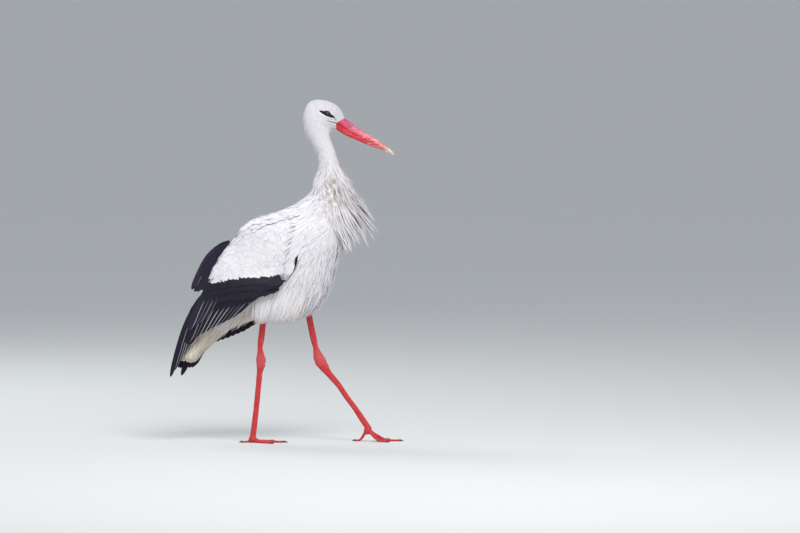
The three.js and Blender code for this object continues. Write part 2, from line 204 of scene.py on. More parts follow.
def tube_faces(rows, around):
    """Faces of a capped tube."""
    faces = []
    for r in range(rows - 1):
        for a in range(around):
            b = (a + 1) % around
            faces.append((r * around + a, r * around + b, (r + 1) * around + b, (r + 1) * around + a))
    first, last = rows * around, rows * around + 1
    for a in range(around):
        b = (a + 1) % around
        faces.append((first, b, a))
        faces.append((last, (rows - 1) * around + a, (rows - 1) * around + b))
    return faces


# %% Copies of the frame's solids, and melting them together
def node_points(name):
    """A frame node's corner points and faces, with doubles merged, in metres."""
    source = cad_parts[name].data
    rounded, inverse = np.unique(np.round(mesh_points(source), 6), axis=0, return_inverse=True)
    inverse = inverse.ravel()
    faces = [tuple(inverse[i] for i in f.vertices) for f in source.polygons]
    return rounded.astype(float), [f for f in faces if len(set(f)) == len(f)]


def swollen(name, thickness):
    """A frame node's points moved along their normals, and its faces."""
    points, faces = node_points(name)
    mesh = plain_mesh("normals", points, faces)
    normals = np.array([v.normal[:] for v in mesh.vertices])
    bpy.data.meshes.remove(mesh)
    return points + normals * thickness, faces


def melted(name, parts, voxel, smooth):
    """One closed mesh from several closed ones that overlap."""
    points, faces, start = [], [], 0
    for p, f in parts:
        points.append(p)
        faces += [tuple(i + start for i in face) for face in f]
        start += len(p)
    made = add_object(name, plain_mesh(name, np.vstack(points), faces))
    remesh = made.modifiers.new("melt", "REMESH")
    remesh.mode = "VOXEL"
    remesh.voxel_size = voxel
    soften = made.modifiers.new("soften", "SMOOTH")
    soften.factor = 0.5
    soften.iterations = smooth
    mesh = finished_mesh(made, name)
    bpy.data.objects.remove(made)
    return mesh


# %% [markdown]
# ## Camera, light and floor
#
# A long lens from far away keeps the side view flat, as a wildlife lens does. The light is one large soft
# lamp above the near side, a weaker one behind for the edges, and an even grey surround.

# %% Camera
PIXEL, PIXELS_ACROSS = 0.0028, 800
VIEW_WIDTH = PIXEL * PIXELS_ACROSS
DISTANCE = 20.0
TILT = math.radians(3.0)
aim = Vector(metres([316.4, 0, 492.8]))
camera_data = bpy.data.cameras.new("camera")
camera_data.sensor_width = 36
camera_data.lens = 36 * DISTANCE / VIEW_WIDTH
camera_data.clip_end = 200
camera = add_object("camera", camera_data)
camera.location = aim + Vector((0, -DISTANCE * math.cos(TILT), DISTANCE * math.sin(TILT)))
camera.rotation_euler = (math.pi / 2 - TILT, 0, 0)
bpy.context.scene.camera = camera
print("lens", round(camera_data.lens), "mm")


# %% Lamps and surround
def soft_lamp(name, place, target, size, watts, colour):
    data = bpy.data.lights.new(name, "AREA")
    data.shape = "DISK"
    data.size = size
    data.energy = watts
    data.color = colour
    lamp = add_object(name, data)
    lamp.location = place
    lamp.rotation_euler = (Vector(target) - Vector(place)).to_track_quat("-Z", "Y").to_euler()


soft_lamp("key", (0.9, -2.6, 3.6), (0, 0, 0.5), 2.2, 125, (1.0, 0.985, 0.965))
soft_lamp("rim", (-2.2, 2.4, 3.0), (0, 0, 0.5), 2.4, 60, (0.94, 0.97, 1.0))
surround = bpy.data.worlds.new("surround")
surround.use_nodes = True
surround.node_tree.nodes["Background"].inputs[0].default_value = (0.80, 0.84, 0.90, 1)
surround.node_tree.nodes["Background"].inputs[1].default_value = 0.62
bpy.context.scene.world = surround
bpy.context.scene.view_settings.view_transform = "Standard"


# %% Nodes and finishes: helpers
def node(tree, kind, inputs=None, **values):
    """A new node. inputs gives a value, or the socket it is linked from, for some of its inputs."""
    made = tree.nodes.new(kind)
    for key, value in values.items():
        setattr(made, key, value)
    for key, value in (inputs or {}).items():
        if isinstance(value, bpy.types.NodeSocket):
            tree.links.new(value, made.inputs[key])
        else:
            made.inputs[key].default_value = value
    return made


def new_finish(name, colour, roughness, **sockets):
    """A material with its shader's plain numbers set, its node tree and its shader."""
    material = bpy.data.materials.new(name)
    material.use_nodes = True
    tree = material.node_tree
    shader = tree.nodes["Principled BSDF"]
    shader.inputs["Base Color"].default_value = (*colour, 1)
    shader.inputs["Roughness"].default_value = roughness
    for socket, value in sockets.items():
        shader.inputs[socket.replace("_", " ")].default_value = value
    return material, tree, shader


def paint(tree, shader, colour):
    tree.links.new(colour, shader.inputs["Base Color"])


def mix_colours(tree, factor, first, second, mode="MIX"):
    """The output of a colour mix; first and second are colours or sockets, factor a number or a socket."""
    first, second = ((*value, 1) if isinstance(value, tuple) else value for value in (first, second))
    sources = {0: factor, 6: first, 7: second}
    return node(tree, "ShaderNodeMix", sources, data_type="RGBA", blend_type=mode).outputs[2]


def ramp(tree, source, stops):
    """A colour ramp from a list of (place, grey or colour)."""
    made = node(tree, "ShaderNodeValToRGB", {0: source})
    elements = made.color_ramp.elements
    while len(elements) < len(stops):
        elements.new(0.5)
    for element, (place, value) in zip(elements, stops):
        element.position = place
        element.color = (*value, 1) if isinstance(value, tuple) else (value, value, value, 1)
    return made.outputs[0]


def bump(tree, shader, height, distance, strength=1.0, under=None):
    sources = {"Distance": distance, "Strength": strength, "Height": height}
    if under is not None:
        sources["Normal"] = under
    made = node(tree, "ShaderNodeBump", sources)
    tree.links.new(made.outputs[0], shader.inputs["Normal"])
    return made.outputs[0]


# %% Patterns for the finishes
def object_place(tree):
    return node(tree, "ShaderNodeTexCoord").outputs["Object"]


def stretched(tree, source, scale, rotation=(0, 0, 0)):
    """A place turned and scaled, so that a pattern laid over it is drawn out."""
    sources = {"Vector": source, "Rotation": rotation, "Scale": scale}
    return node(tree, "ShaderNodeMapping", sources).outputs[0]


def noise(tree, source, scale, detail=2):
    return node(tree, "ShaderNodeTexNoise", {"Vector": source, "Scale": scale, "Detail": detail}).outputs[0]


def barb_lines(tree, source, scale, distortion):
    """Fine slanting lines over a vane."""
    sources = {"Vector": source, "Scale": scale, "Distortion": distortion}
    return node(tree, "ShaderNodeTexWave", sources, bands_direction="DIAGONAL").outputs["Fac"]


def product(tree, first, second):
    return node(tree, "ShaderNodeMath", {0: first, 1: second}, operation="MULTIPLY").outputs[0]


def parts_of(tree, kind, source):
    """The three numbers that a colour or a place is made of."""
    return tuple(node(tree, "ShaderNodeSeparate" + kind, {0: source}).outputs)


def read_marks(tree):
    """The four shares that a mesh carries as its marks."""
    marks = node(tree, "ShaderNodeAttribute", attribute_name="marks")
    return parts_of(tree, "Color", marks.outputs["Color"]) + (marks.outputs["Alpha"],)


# %% Floor
FLOOR_REACH = 200.0
floor_paint, _, _ = new_finish("floor_paint", (0.70, 0.71, 0.70), 0.85)
corners = [(x * FLOOR_REACH, y * FLOOR_REACH, 0) for x, y in ((-1, -1), (1, -1), (1, 1), (-1, 1))]
floor = add_object("floor", plain_mesh("floor", corners, [(0, 1, 2, 3)]))
floor.data.materials.append(floor_paint)
floor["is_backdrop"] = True

# %% [markdown]
# ## The body's guide
#
# A row gives one section through the body: its upper outline (x, z), its lower outline (x, z) and its half
# width. The rows run from the base of the bill over the head, down the neck and along the trunk to the tail.
# A smooth curve through them says where any point of the body is, and its slope says which way the feathers
# lie there, because feathers always point from the bill towards the tail.

# %% Guide rows
GUIDE = np.array([
    [162, 908, 138, 875, 13], [151, 932, 131, 871, 20], [137, 946, 127, 869, 25], [118, 955, 125, 866, 28.5],
    [95, 960, 123, 864, 30], [73, 958, 122, 861, 30], [56, 945, 122, 857, 29], [46, 918, 122, 851, 28],
    [45, 893, 123, 846, 27], [50, 867, 127, 838, 26], [60, 847, 131, 827, 25.5], [72, 825, 135, 816, 26],
    [83, 801, 140, 799, 26], [87, 780, 146, 781, 27], [86, 763, 153, 762, 29], [77, 743, 161, 736, 34],
    [70, 724, 169, 706, 42], [67, 704, 176, 674, 52], [48, 686, 179, 640, 64], [17, 666, 174, 595, 77],
    [-20, 650, 158, 547, 88], [-59, 638, 140, 500, 95], [-98, 625, 126, 452, 98], [-123, 606, 106, 410, 98],
    [-147, 573, 67, 374, 95], [-168, 539, 8, 353, 88], [-188, 503, -53, 349, 76], [-207, 463, -104, 349, 62],
    [-224, 427, -140, 332, 50], [-241, 393, -168, 312, 42], [-258, 357, -190, 293, 38],
    [-272, 321, -213, 273, 36], [-285, 284, -234, 251, 37], [-296, 249, -253, 231, 36],
    [-301, 236, -264, 226, 27],
], float)
SECTIONS = len(GUIDE) - 1


def smooth_rows(rows, t):
    """Rows of numbers read at places t from 0 to 1 along a smooth curve through them."""
    rows = np.asarray(rows, float)
    t = np.clip(np.asarray(t, float), 0, 1) * (len(rows) - 1)
    k = np.minimum(t.astype(int), len(rows) - 2)
    w = (t - k)[..., None]
    padded = np.vstack([2 * rows[0] - rows[1], rows, 2 * rows[-1] - rows[-2]])
    before, here, there, after = (padded[k + i] for i in range(4))
    a, b = (there - before) / 2, (after - here) / 2
    return here + w * (a + w * (3 * (there - here) - 2 * a - b + w * (2 * (here - there) + a + b)))


def body_points(t, angle, sink=0.0):
    """Points of the body in mm, drawn in by sink. The angle runs from the upper outline over the left."""
    section = smooth_rows(GUIDE, t)
    middle = (section[..., :2] + section[..., 2:4]) / 2
    upward = (section[..., :2] - section[..., 2:4]) / 2
    tall = np.linalg.norm(upward, axis=-1)
    xz = middle + upward * ((tall - sink) / tall * np.cos(angle))[..., None]
    return np.stack([xz[..., 0], (section[..., 4] - sink) * np.sin(angle), xz[..., 1]], -1)


# %% A lookup from any point to its place on the guide
GUIDE_T, GUIDE_A = np.meshgrid(np.linspace(0, 1, 420), np.linspace(-math.pi, math.pi, 73)[:-1], indexing="ij")
GUIDE_T, GUIDE_A = GUIDE_T.ravel(), GUIDE_A.ravel()
lookup = point_tree(body_points(GUIDE_T, GUIDE_A))


def on_guide(points):
    """The place on the guide of points in metres, as t and angle."""
    found = np.array([lookup.find(p)[1] for p in millimetres(points)])
    return GUIDE_T[found], GUIDE_A[found]


print("guide:", len(GUIDE_T), "points")

# %% [markdown]
# ## The skin
#
# The skin is the same body, drawn in by the depth of the coat, so that feathers rooted in it end at the true
# outline. One long lofted tube makes head, neck, trunk and tail, copies of the wing and thigh solids are sunk
# into it, and a voxel remesh melts them into one surface. The legs have no feathers, so they are copied at
# full size and remeshed finer before they are joined on.

# %% Coat depth along the body
DEPTH_ROWS = np.array([
    # section, depth in mm
    [0, 0.7], [1, 1.3], [3, 1.9], [7, 2.2], [10, 2.8], [13, 3.2], [15, 4.5], [17, 6.0], [19, 7.0], [26, 7.0],
    [28, 6.5], [31, 6.0], [34, 5.0],
])


def coat_depth(section):
    return np.interp(section, DEPTH_ROWS[:, 0], DEPTH_ROWS[:, 1])


# %% The body's tube, with sunk copies of the wings and thighs
BODY_ROWS, BODY_AROUND = 260, 96
WING_SINK, WING_SINK_ABOVE = 0.0055, 0.0024
THIGH_SINK, THIGH_LEAN = 0.0045, 0.018
t, angle = ring_grid(BODY_ROWS, BODY_AROUND, 0, 1)
tube = capped(body_points(t, angle, coat_depth(t * SECTIONS)), BODY_AROUND)
parts = [(metres(tube), tube_faces(BODY_ROWS, BODY_AROUND))]
for side, name in SIDES:
    points, faces = node_points("wing_" + name + "_coverts")
    middle = points.mean(0)
    points = middle + (points - middle) * np.array([0.95, 1, 0.93])
    points[:, 1] -= side * (WING_SINK - WING_SINK_ABOVE * np.clip((points[:, 2] - 0.47) / 0.04, 0, 1))
    parts.append((points, faces))
    points, faces = swollen("thigh_" + name, -THIGH_SINK)
    points = points + np.array([0, 0, 0.006])
    points[:, 1] -= side * THIGH_LEAN * np.clip((points[:, 2] - 0.345) / 0.075, 0, 1)
    parts.append((points, faces))
body_skin = melted("body_skin", parts, 0.0042, 4)
print("body skin:", len(body_skin.polygons), "faces")

# %% The legs, reshaped a little: slim under the heel joint, thick at it
LEG_SWELL = 0.00042
SLAB, SLABS = 4, 100
parts = []
for _, name in SIDES:
    for member in [m + name for m in ("shank_", "tarsus_", "foot_")] + numbered("toe_", name):
        points, faces = swollen(member, LEG_SWELL)
        if member.startswith("shank"):
            top = points[:, 2] > points[:, 2].max() - 0.008
            points[top, 2] += 0.014
        parts.append((points, faces))
leg_skin = melted("leg_skin", parts, 0.0016, 3)
leg_points = mesh_points(leg_skin)
for side, _ in SIDES:
    mine = np.nonzero(side * leg_points[:, 1] > 0)[0]
    x, y, z = millimetres(leg_points[mine]).T
    slab = np.clip((z / SLAB).astype(int), 0, SLABS - 1)
    axis = np.zeros((SLABS, 2))
    for k in np.unique(slab):
        axis[k] = x[slab == k].mean(), y[slab == k].mean()
    centre = np.stack([np.interp(z, np.arange(SLABS) * SLAB + SLAB / 2, axis[:, k]) for k in (0, 1)], 1)
    girth = 1 - 0.25 * np.exp(-((z - 264) / 14) ** 2) + 0.12 * np.exp(-((z - 233) / 9) ** 2)
    girth += 0.07 * np.exp(-((z - 214) / 5) ** 2)
    girth -= 0.07 * np.exp(-((z - 197) / 12) ** 2)
    shaped = centre + (np.stack([x, y], 1) - centre) * girth[:, None]
    shaped = metres(np.column_stack([shaped, z]))[:, :2]
    leg_points[mine, :2] = np.where((z > 150)[:, None], shaped, leg_points[mine, :2])
leg_points[:, 2] = np.maximum(leg_points[:, 2], 0.0)
move_points(leg_skin, leg_points)
print("leg skin:", len(leg_skin.polygons), "faces")

# %% One skin
skin, legs = add_object("skin", body_skin), add_object("legs", leg_skin)
join = skin.modifiers.new("join", "BOOLEAN")
join.operation = "UNION"
join.solver = "MANIFOLD"
join.object = legs
skin_mesh = finished_mesh(skin, "skin")
bpy.data.objects.remove(skin)
bpy.data.objects.remove(legs)
skin = add_object("skin", skin_mesh)
print("skin:", len(skin_mesh.vertices), "points,", len(skin_mesh.polygons), "faces")

# %% [markdown]
# The face needs more detail than the body: the lids, the fold behind the gape and the edge of the naked skin
# are about a millimetre wide. The faces round the eyes are cut finer, smoothed, and then moved: inside the
# lids' opening the skin goes in behind the eyeball, and round it the skin climbs over the ball as a lid.

# %% Finer faces on the face
FACE_LOW, FACE_HIGH = metres([88, -40, 866]), metres([164, 40, 941])
FACE_CUTS = 5


def on_face(point, margin=0.0):
    return all(FACE_LOW[k] + margin < point[k] < FACE_HIGH[k] - margin for k in range(3))


cutter = bmesh.new()
cutter.from_mesh(skin_mesh)
edges = {e for f in cutter.faces if on_face(f.calc_center_median()) for e in f.edges}
edges = sorted(edges, key=lambda e: e.index)
bmesh.ops.subdivide_edges(cutter, edges=edges, cuts=FACE_CUTS, use_grid_fill=True)
fresh = [v for v in cutter.verts if on_face(v.co, 0.003)]
for _ in range(6):
    bmesh.ops.smooth_vert(cutter, verts=fresh, factor=0.5, use_axis_x=True, use_axis_y=True, use_axis_z=True)
bmesh.ops.triangulate(cutter, faces=[f for f in cutter.faces if len(f.verts) > 4])
cutter.to_mesh(skin_mesh)
cutter.free()
print("skin with a fine face:", len(skin_mesh.polygons), "faces")


# %% Distances on the face, in the side view
LID_AXIS = np.array([0.897, -0.442])
LID_OPENING = (6.3, 4.5)


def near_line(points, start, end):
    """Distance from a line, and the share along it."""
    start, end = np.array(start, float), np.array(end, float)
    along = end - start
    flat = points[:, [0, 2]] - start
    share = np.clip(flat @ along / (along @ along), 0, 1)
    return np.linalg.norm(flat - share[:, None] * along, axis=1), share


def eye_place(points):
    """Distances along and across the lids' opening, and how far out that is as a share of the opening."""
    flat = points[:, [0, 2]] - np.array([EYE[0], EYE[2]])
    u, v = flat @ LID_AXIS, flat @ np.array([-LID_AXIS[1], LID_AXIS[0]])
    return u, v, np.hypot(u / LID_OPENING[0], v / LID_OPENING[1])


def mouth_fold(points):
    """Distance from the gape's fold, the share along it, then distances from chin's edge and crease."""
    gape, share = near_line(points, (113, 902), (137, 895))
    chin, _ = near_line(points, (115, 879), (137, 880))
    crease, _ = near_line(points, (112, 909), (132, 903))
    return gape, share, chin, crease


# %% Lids and folds
LID_RADIUS, BALL_RADIUS, BALL_GAP = 8.5, 7.5, 3.0
points = millimetres(mesh_points(skin_mesh))
side = np.sign(points[:, 1])
out = np.abs(points[:, 1])
u, v, ratio = eye_place(points)
near = (ratio < 2.6) & (out > 12)
ball = EYE[1] + np.sqrt(np.maximum(LID_RADIUS ** 2 - u ** 2 - v ** 2, 0))
lid = rise(-ratio, -2.1, -1.12)
raised = out + (np.maximum(ball, out) - out) * lid - 0.35 * np.exp(-((ratio - 1.55) / 0.16) ** 2)
hidden = EYE[1] + np.sqrt(np.maximum(BALL_RADIUS ** 2 - u ** 2 - v ** 2, 0)) - BALL_GAP
out = np.where(near, np.where(ratio < 1, np.minimum(hidden, raised), raised), out)
gape, share, chin, crease = mouth_fold(points)
face = (out > 8) & (points[:, 0] > 100) & (points[:, 2] > 860)
fold = 1.1 * np.exp(-(gape / 1.1) ** 2) - 0.7 * np.exp(-((gape - 3) / 1.6) ** 2)
fold += 0.5 * np.exp(-(chin / 1.1) ** 2) + 0.7 * np.exp(-(crease / 1.0) ** 2)
under_horn = rise(points[:, 0], 136.5, 139) * rise(896 + 0.5 * (points[:, 0] - 139) - points[:, 2], -1.5, 1)
out = np.where(face, out - fold * rise(share, 0, 0.25) - 2.2 * under_horn, out)
points[:, 1] = side * out
move_points(skin_mesh, metres(points))
shade_smooth(skin_mesh)
print("lids and folds moved", int(near.sum()), "points")

# %% [markdown]
# ## Markings
#
# The same few rules colour the skin and every feather, so the bare gaps never show through in another
# colour. Each rule turns a place on the bird into a share from 0 to 1: how cream the feathers are below, how
# dusty the throat is, where the naked skin is black or red, and where black painted shade lies in the face's
# folds.

# %% Where the colours go
def spot(x, z, middle, half):
    """A soft spot in the side view: 1 at its middle, fading over its half width and half height."""
    return np.exp(-((x - middle[0]) / half[0]) ** 2 - ((z - middle[1]) / half[1]) ** 2)


def stroke(distance, half_width, soft=0.4):
    """A drawn line with soft edges: 1 within the half width of it."""
    return rise(-(distance - half_width), -soft, soft)


def markings(points_mm):
    """Four shares for each point: cream, dust, black skin with black painted shade in the face's folds, red
    skin.
    """
    x, y, z = points_mm.T
    below = rise(-x, -60, 60) * rise(-(z - 430 - 0.2 * x), 0, 110)
    white_patch = spot(x, z, (-257, 273), (16, 18))
    undertail = (1 - 0.8 * white_patch) * rise(-x, 120, 190) * rise(-z, -420, -330)
    hems = spot(x, z, (50, 405), (24, 40)) + spot(x, z, (-74, 378), (26, 30))
    cream = np.clip(0.45 * below + 0.75 * undertail + 0.6 * hems, 0, 1)
    chin_spot = rise(-(np.hypot(x - 124, z - 869) - 4), -3, 2)
    dust = np.clip(np.maximum(spot(x, z, (128, 716), (30, 44)), chin_spot), 0, 1)
    eye_line, share = near_line(points_mm, (91, 930), (132, 911.5))
    reach = 0.9 + 4.6 * np.sin(np.pi * np.clip(share * 0.93, 0, 1)) ** 0.75
    u, v, ratio = eye_place(points_mm)
    round_eye = rise(-np.hypot((u + 1) / 10.5, (v + 0.5) / 7.6), -1.06, -0.94)
    black = np.maximum(stroke(eye_line, reach, 0.5), round_eye)
    black *= 1 - 0.09 * np.exp(-((ratio - 1.22) / 0.10) ** 2)
    lore, _ = near_line(points_mm, (132, 911.5), (138, 902))
    gape, share, chin_edge, crease = mouth_fold(points_mm)
    # Black skin: the lore. Painted shade: the lines along the gape, the chin's edge and the crease are drawn
    # black, as shade falls in these folds.
    for line in (stroke(lore, 0.9), stroke(gape - 0.6, 0.9 * share) * (x > 100),
                 0.75 * stroke(chin_edge, 0.5), 0.6 * stroke(crease, 0.4)):
        black = np.maximum(black, line)
    black *= np.abs(y) > 6
    red = rise(-z, -352, -341) * (np.abs(y) < 60) * (x > -110) * (x < 75)
    under_bill = rise(x, 137, 138.4) * rise(-(z - 896 - 0.5 * (x - 139)), -1, 1) * (z > 872)
    for share in (rise(-z, -362, -352) * (x > 45), z < 150, under_bill):
        red = np.maximum(red, share)
    return np.stack([cream, dust, black, red], 1)


# %% Writing shares and maps onto meshes
def write_marks(mesh, marks):
    layer = mesh.attributes.new("marks", "FLOAT_COLOR", "POINT")
    layer.data.foreach_set("color", np.asarray(marks, np.float32).ravel())


def feather_marks(points_mm):
    """The markings of feathers rooted at the points, with a shade of its own for each in the third share."""
    marks = markings(points_mm)
    marks[:, 2] = chance.random(len(marks)) ** 2
    return marks


def write_map(mesh, name, uv):
    layer = mesh.uv_layers.new(name=name)
    layer.uv.foreach_set("vector", np.asarray(uv, np.float32).ravel())


write_marks(skin_mesh, markings(millimetres(mesh_points(skin_mesh))))
print("marks on the skin:", len(skin_mesh.vertices), "points")

# %% [markdown]
# ## One feather, and many
#
# A contour feather is a thin curved blade: narrow at the quill, widest past its middle, with a ragged tip.
# Each is built as a small closed solid on a path of a few points, and thousands of them are joined into one
# mesh with arrays of numbers, which is far quicker than one object for each. Two maps go with them: "vane"
# says where a point is on its own feather, and "OFBake" gives every feather a tiny patch of its own at the
# place of its root on the bird.

# %% Outlines of feathers, as half widths from root to tip
OUTLINES = {
    "contour": ([0, 0.15, 0.4, 0.7, 0.88, 0.97, 1], [0.15, 0.55, 0.92, 1, 0.76, 0.42, 0.12]),
    "covert": ([0, 0.15, 0.4, 0.75, 0.92, 0.98, 1], [0.15, 0.55, 0.92, 1, 0.88, 0.62, 0.3]),
    "tuft": ([0, 0.25, 0.6, 0.85, 1], [0.45, 0.9, 0.85, 0.45, 0.06]),
    "hackle": ([0, 0.15, 0.4, 0.7, 0.9, 1], [0.3, 0.8, 1, 0.68, 0.3, 0.04]),
    "flight": ([0, 0.04, 0.15, 0.8, 0.92, 0.975, 1], [0.2, 0.5, 0.9, 1, 0.84, 0.5, 0.12]),
}


def steps_for(outline, rows):
    """Row places that crowd towards the tip, and the half widths there."""
    s = np.linspace(0, 1, rows)
    s = 1 - (1 - s) ** (1.35 if outline in ("contour", "covert", "flight") else 1.0)
    return s, np.interp(s, *OUTLINES[outline])


# %% The solid vanes
TINY = 1e-12
PATCH = 0.003


def vane_mesh(name, paths, normals, half_widths, outline, columns, thickness, camber, places, marks,
              ragged=0.0, spine=0.0):
    """Closed vanes along paths of shape (feathers, rows, 3), all in metres, as one mesh."""
    count, rows, _ = paths.shape
    s, outline_widths = steps_for(outline, rows)
    v = np.asarray(columns, float)
    cols = len(v)
    ahead = unit(np.gradient(paths, axis=1), TINY)
    across = unit(np.cross(ahead, normals), TINY)
    upward = np.cross(across, ahead)
    half = half_widths[:, None] * outline_widths
    arch = camber * (1 - v ** 2) + spine * np.exp(-((v - v[cols // 2]) / 0.12) ** 2)
    top = (paths[:, :, None] + across[:, :, None] * (half[..., None] * v)[..., None]
           + upward[:, :, None] * (half[..., None] * arch)[..., None])
    if ragged:
        push = (chance.random((count, cols)) - 0.6) * ragged * path_lengths(paths)[:, None]
        fade = np.clip((s - 0.6) / 0.4, 0, 1) ** 2
        top += ahead[:, :, None] * (push[:, None] * fade[:, None])[..., None]
    deep = thickness * np.clip(1 - v[1:-1] ** 2, 0.25, 1)
    under = top[:, 1:-1, 1:-1] - upward[:, 1:-1, None] * deep[:, None]
    return joined_vanes(name, top, under, s, v, places, marks)


# %% Many vanes as one mesh
def joined_vanes(name, top, under, s, v, places, marks):
    """One mesh of closed vanes from the points of their upper and under faces, with maps and marks."""
    count, rows, cols, _ = top.shape
    above = np.arange(rows * cols).reshape(rows, cols)
    below = above.copy()
    below[1:-1, 1:-1] = rows * cols + np.arange((rows - 2) * (cols - 2)).reshape(rows - 2, cols - 2)
    quads = []
    for grid, turn in ((above, 1), (below, -1)):
        quad = np.stack([grid[:-1, :-1], grid[:-1, 1:], grid[1:, 1:], grid[1:, :-1]], -1).reshape(-1, 4)
        quads.append(quad[:, ::turn])
    quads = np.concatenate(quads)
    each = rows * cols + (rows - 2) * (cols - 2)
    points = np.concatenate([top.reshape(count, -1, 3), under.reshape(count, -1, 3)], 1).reshape(-1, 3)
    faces = (quads[None] + (np.arange(count) * each)[:, None, None]).reshape(-1, 4)
    mesh = mesh_from_quads(name, points, faces)
    grid_v = np.concatenate([np.tile(v, rows), np.tile(v[1:-1], rows - 2)]) / 2 + 0.5
    grid_s = np.concatenate([np.repeat(s, cols), np.repeat(s[1:-1], cols - 2)])
    local = np.stack([grid_v, grid_s], 1)[quads.ravel()]
    write_map(mesh, "vane", np.tile(local, (count, 1)))
    patch = places[:, None] + (local - 0.5)[None] * PATCH
    write_map(mesh, "OFBake", patch.reshape(-1, 2))
    write_marks(mesh, np.repeat(marks, each, 0))
    rim = np.ones(each, bool)
    rim[rows * cols:] = False
    rim[above[1:-1, 1:-1].ravel()] = False
    sharpen_rims(mesh, np.tile(rim, count))
    return mesh


# %% Fast meshes from arrays, and sharp rims
def mesh_from_quads(name, points, faces):
    mesh = bpy.data.meshes.new(name)
    mesh.vertices.add(len(points))
    mesh.vertices.foreach_set("co", points.astype(np.float32).ravel())
    mesh.loops.add(faces.size)
    mesh.loops.foreach_set("vertex_index", faces.astype(np.int32).ravel())
    mesh.polygons.add(len(faces))
    mesh.polygons.foreach_set("loop_start", np.arange(len(faces), dtype=np.int32) * 4)
    mesh.polygons.foreach_set("use_smooth", np.ones(len(faces), bool))
    mesh.update(calc_edges=True)
    return mesh


def sharpen_rims(mesh, rim):
    """Edges between two rim points are sharp, so that a blade's two faces are shaded apart."""
    ends = np.empty(len(mesh.edges) * 2, np.int32)
    mesh.edges.foreach_get("vertices", ends)
    layer = mesh.attributes.new("sharp_edge", "BOOLEAN", "EDGE")
    layer.data.foreach_set("value", rim[ends.reshape(-1, 2)].all(1))


# %% Scattering roots
TRIED_ROOTS = 120000
ROOTS_PER_PLACE = 9.0


def spread(points, spacing):
    """Indices of the points kept so that none is nearer to another than its spacing."""
    tree = point_tree(points)
    free = np.ones(len(points), bool)
    kept = []
    for i in range(len(points)):
        if free[i]:
            kept.append(i)
            for _, j, _ in tree.find_range(points[i], spacing[i]):
                free[j] = False
    return np.array(kept)


# %% Roots on the body
def body_frame(t, angle):
    """Point, slope along the body and slope round it, in mm."""
    point = body_points(t, angle)
    along = (body_points(t + 0.002, angle) - body_points(t - 0.002, angle)) / 0.004
    around = (body_points(t, angle + 0.01) - body_points(t, angle - 0.01)) / 0.02
    return point, along, around


def body_roots(span, gap_at, keep=None):
    """Roots spread over a span of the body's sections: their t, angle and place in mm."""
    low, high = span[0] / SECTIONS, span[1] / SECTIONS
    t = chance.uniform(low, high, TRIED_ROOTS)
    angle = chance.uniform(-math.pi, math.pi, TRIED_ROOTS)
    point, along, around = body_frame(t, angle)
    gap = gap_at(t * SECTIONS)
    weight = np.linalg.norm(np.cross(along, around), axis=1) / gap ** 2
    places = weight.mean() * (high - low) * 2 * math.pi
    wanted = min(1.0, ROOTS_PER_PLACE * places / TRIED_ROOTS)
    chosen = chance.random(TRIED_ROOTS) < wanted * weight / weight.mean()
    t, angle, point, gap = picked((t, angle, point, gap), chosen)
    if keep is not None:
        t, angle, point, gap = picked((t, angle, point, gap), keep(angle, point))
    return picked((t, angle, point), spread(point, gap))


# %% Paths that follow the body
T_ENDS = (0.002, 0.998)


def body_paths(t, angle, length, rows, outline, lift, swerve, droop=0.0):
    """Paths in metres, and their normals. lift gives the share of the coat's depth at root and tip."""
    s, _ = steps_for(outline, rows)
    paths, normals = [], []
    past = np.zeros(len(t))
    for k in range(rows):
        point, along, around = body_frame(np.clip(t, *T_ENDS), angle)
        normal = unit(np.cross(around, along))
        share = lift[0] + (lift[1] - lift[0]) * s[k] ** 0.8
        sunk = coat_depth(t * SECTIONS) * (1 - share)
        point = point - normal * sunk[:, None] + unit(along) * past[:, None]
        point[:, 2] -= droop * length * s[k] ** 2
        paths.append(point)
        normals.append(normal)
        if k < rows - 1:
            step = length * (s[k + 1] - s[k])
            move = step / np.linalg.norm(along, axis=1)
            past += np.where(t + move > T_ENDS[1], step, 0.0)
            t = np.minimum(t + move, T_ENDS[1])
            angle = angle + swerve * step / np.maximum(np.linalg.norm(around, axis=1), 8)
    return metres(np.stack(paths, 1)), np.stack(normals, 1)


def body_unwrap(t, angle):
    return np.stack([0.02 + 0.96 * t, 0.02 + 0.96 * (np.mod(angle, 2 * math.pi) / (2 * math.pi))], 1)


# %% Pieces of the bird
def add_piece(name, mesh, material, slot_name, *nodes):
    mesh.materials.append(material)
    made = add_object(name, mesh)
    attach(made, "root")
    if nodes:
        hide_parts(*nodes)
    triangles = sum(len(p.vertices) - 2 for p in mesh.polygons)
    print(name + ":", triangles, "triangles")
    return made


# %% [markdown]
# ## Finishes
#
# White plumage is never one white: it turns cream under the tail, dusty at the throat, and each feather has a
# shade of its own. One flat colour would make it plaster. So feathers and skin read the same marks from their
# meshes, dirt lies in patches over the whole bird on Object coordinates, and the strands and barbs follow the
# "vane" map along each feather.

# %% White feathers
def feather_base(tree, plain, cream, dusty):
    """White that turns cream below and dusty at the throat, the other two marks, and the place."""
    creamy, dust, third, fourth = read_marks(tree)
    place = object_place(tree)
    patches = noise(tree, stretched(tree, place, (150, 150, 28)), 1, 4)
    dirt = product(tree, dust, ramp(tree, patches, [(0.40, 0.0), (0.60, 1.0)]))
    colour = mix_colours(tree, creamy, plain, cream)
    return mix_colours(tree, dirt, colour, dusty), third, fourth, place


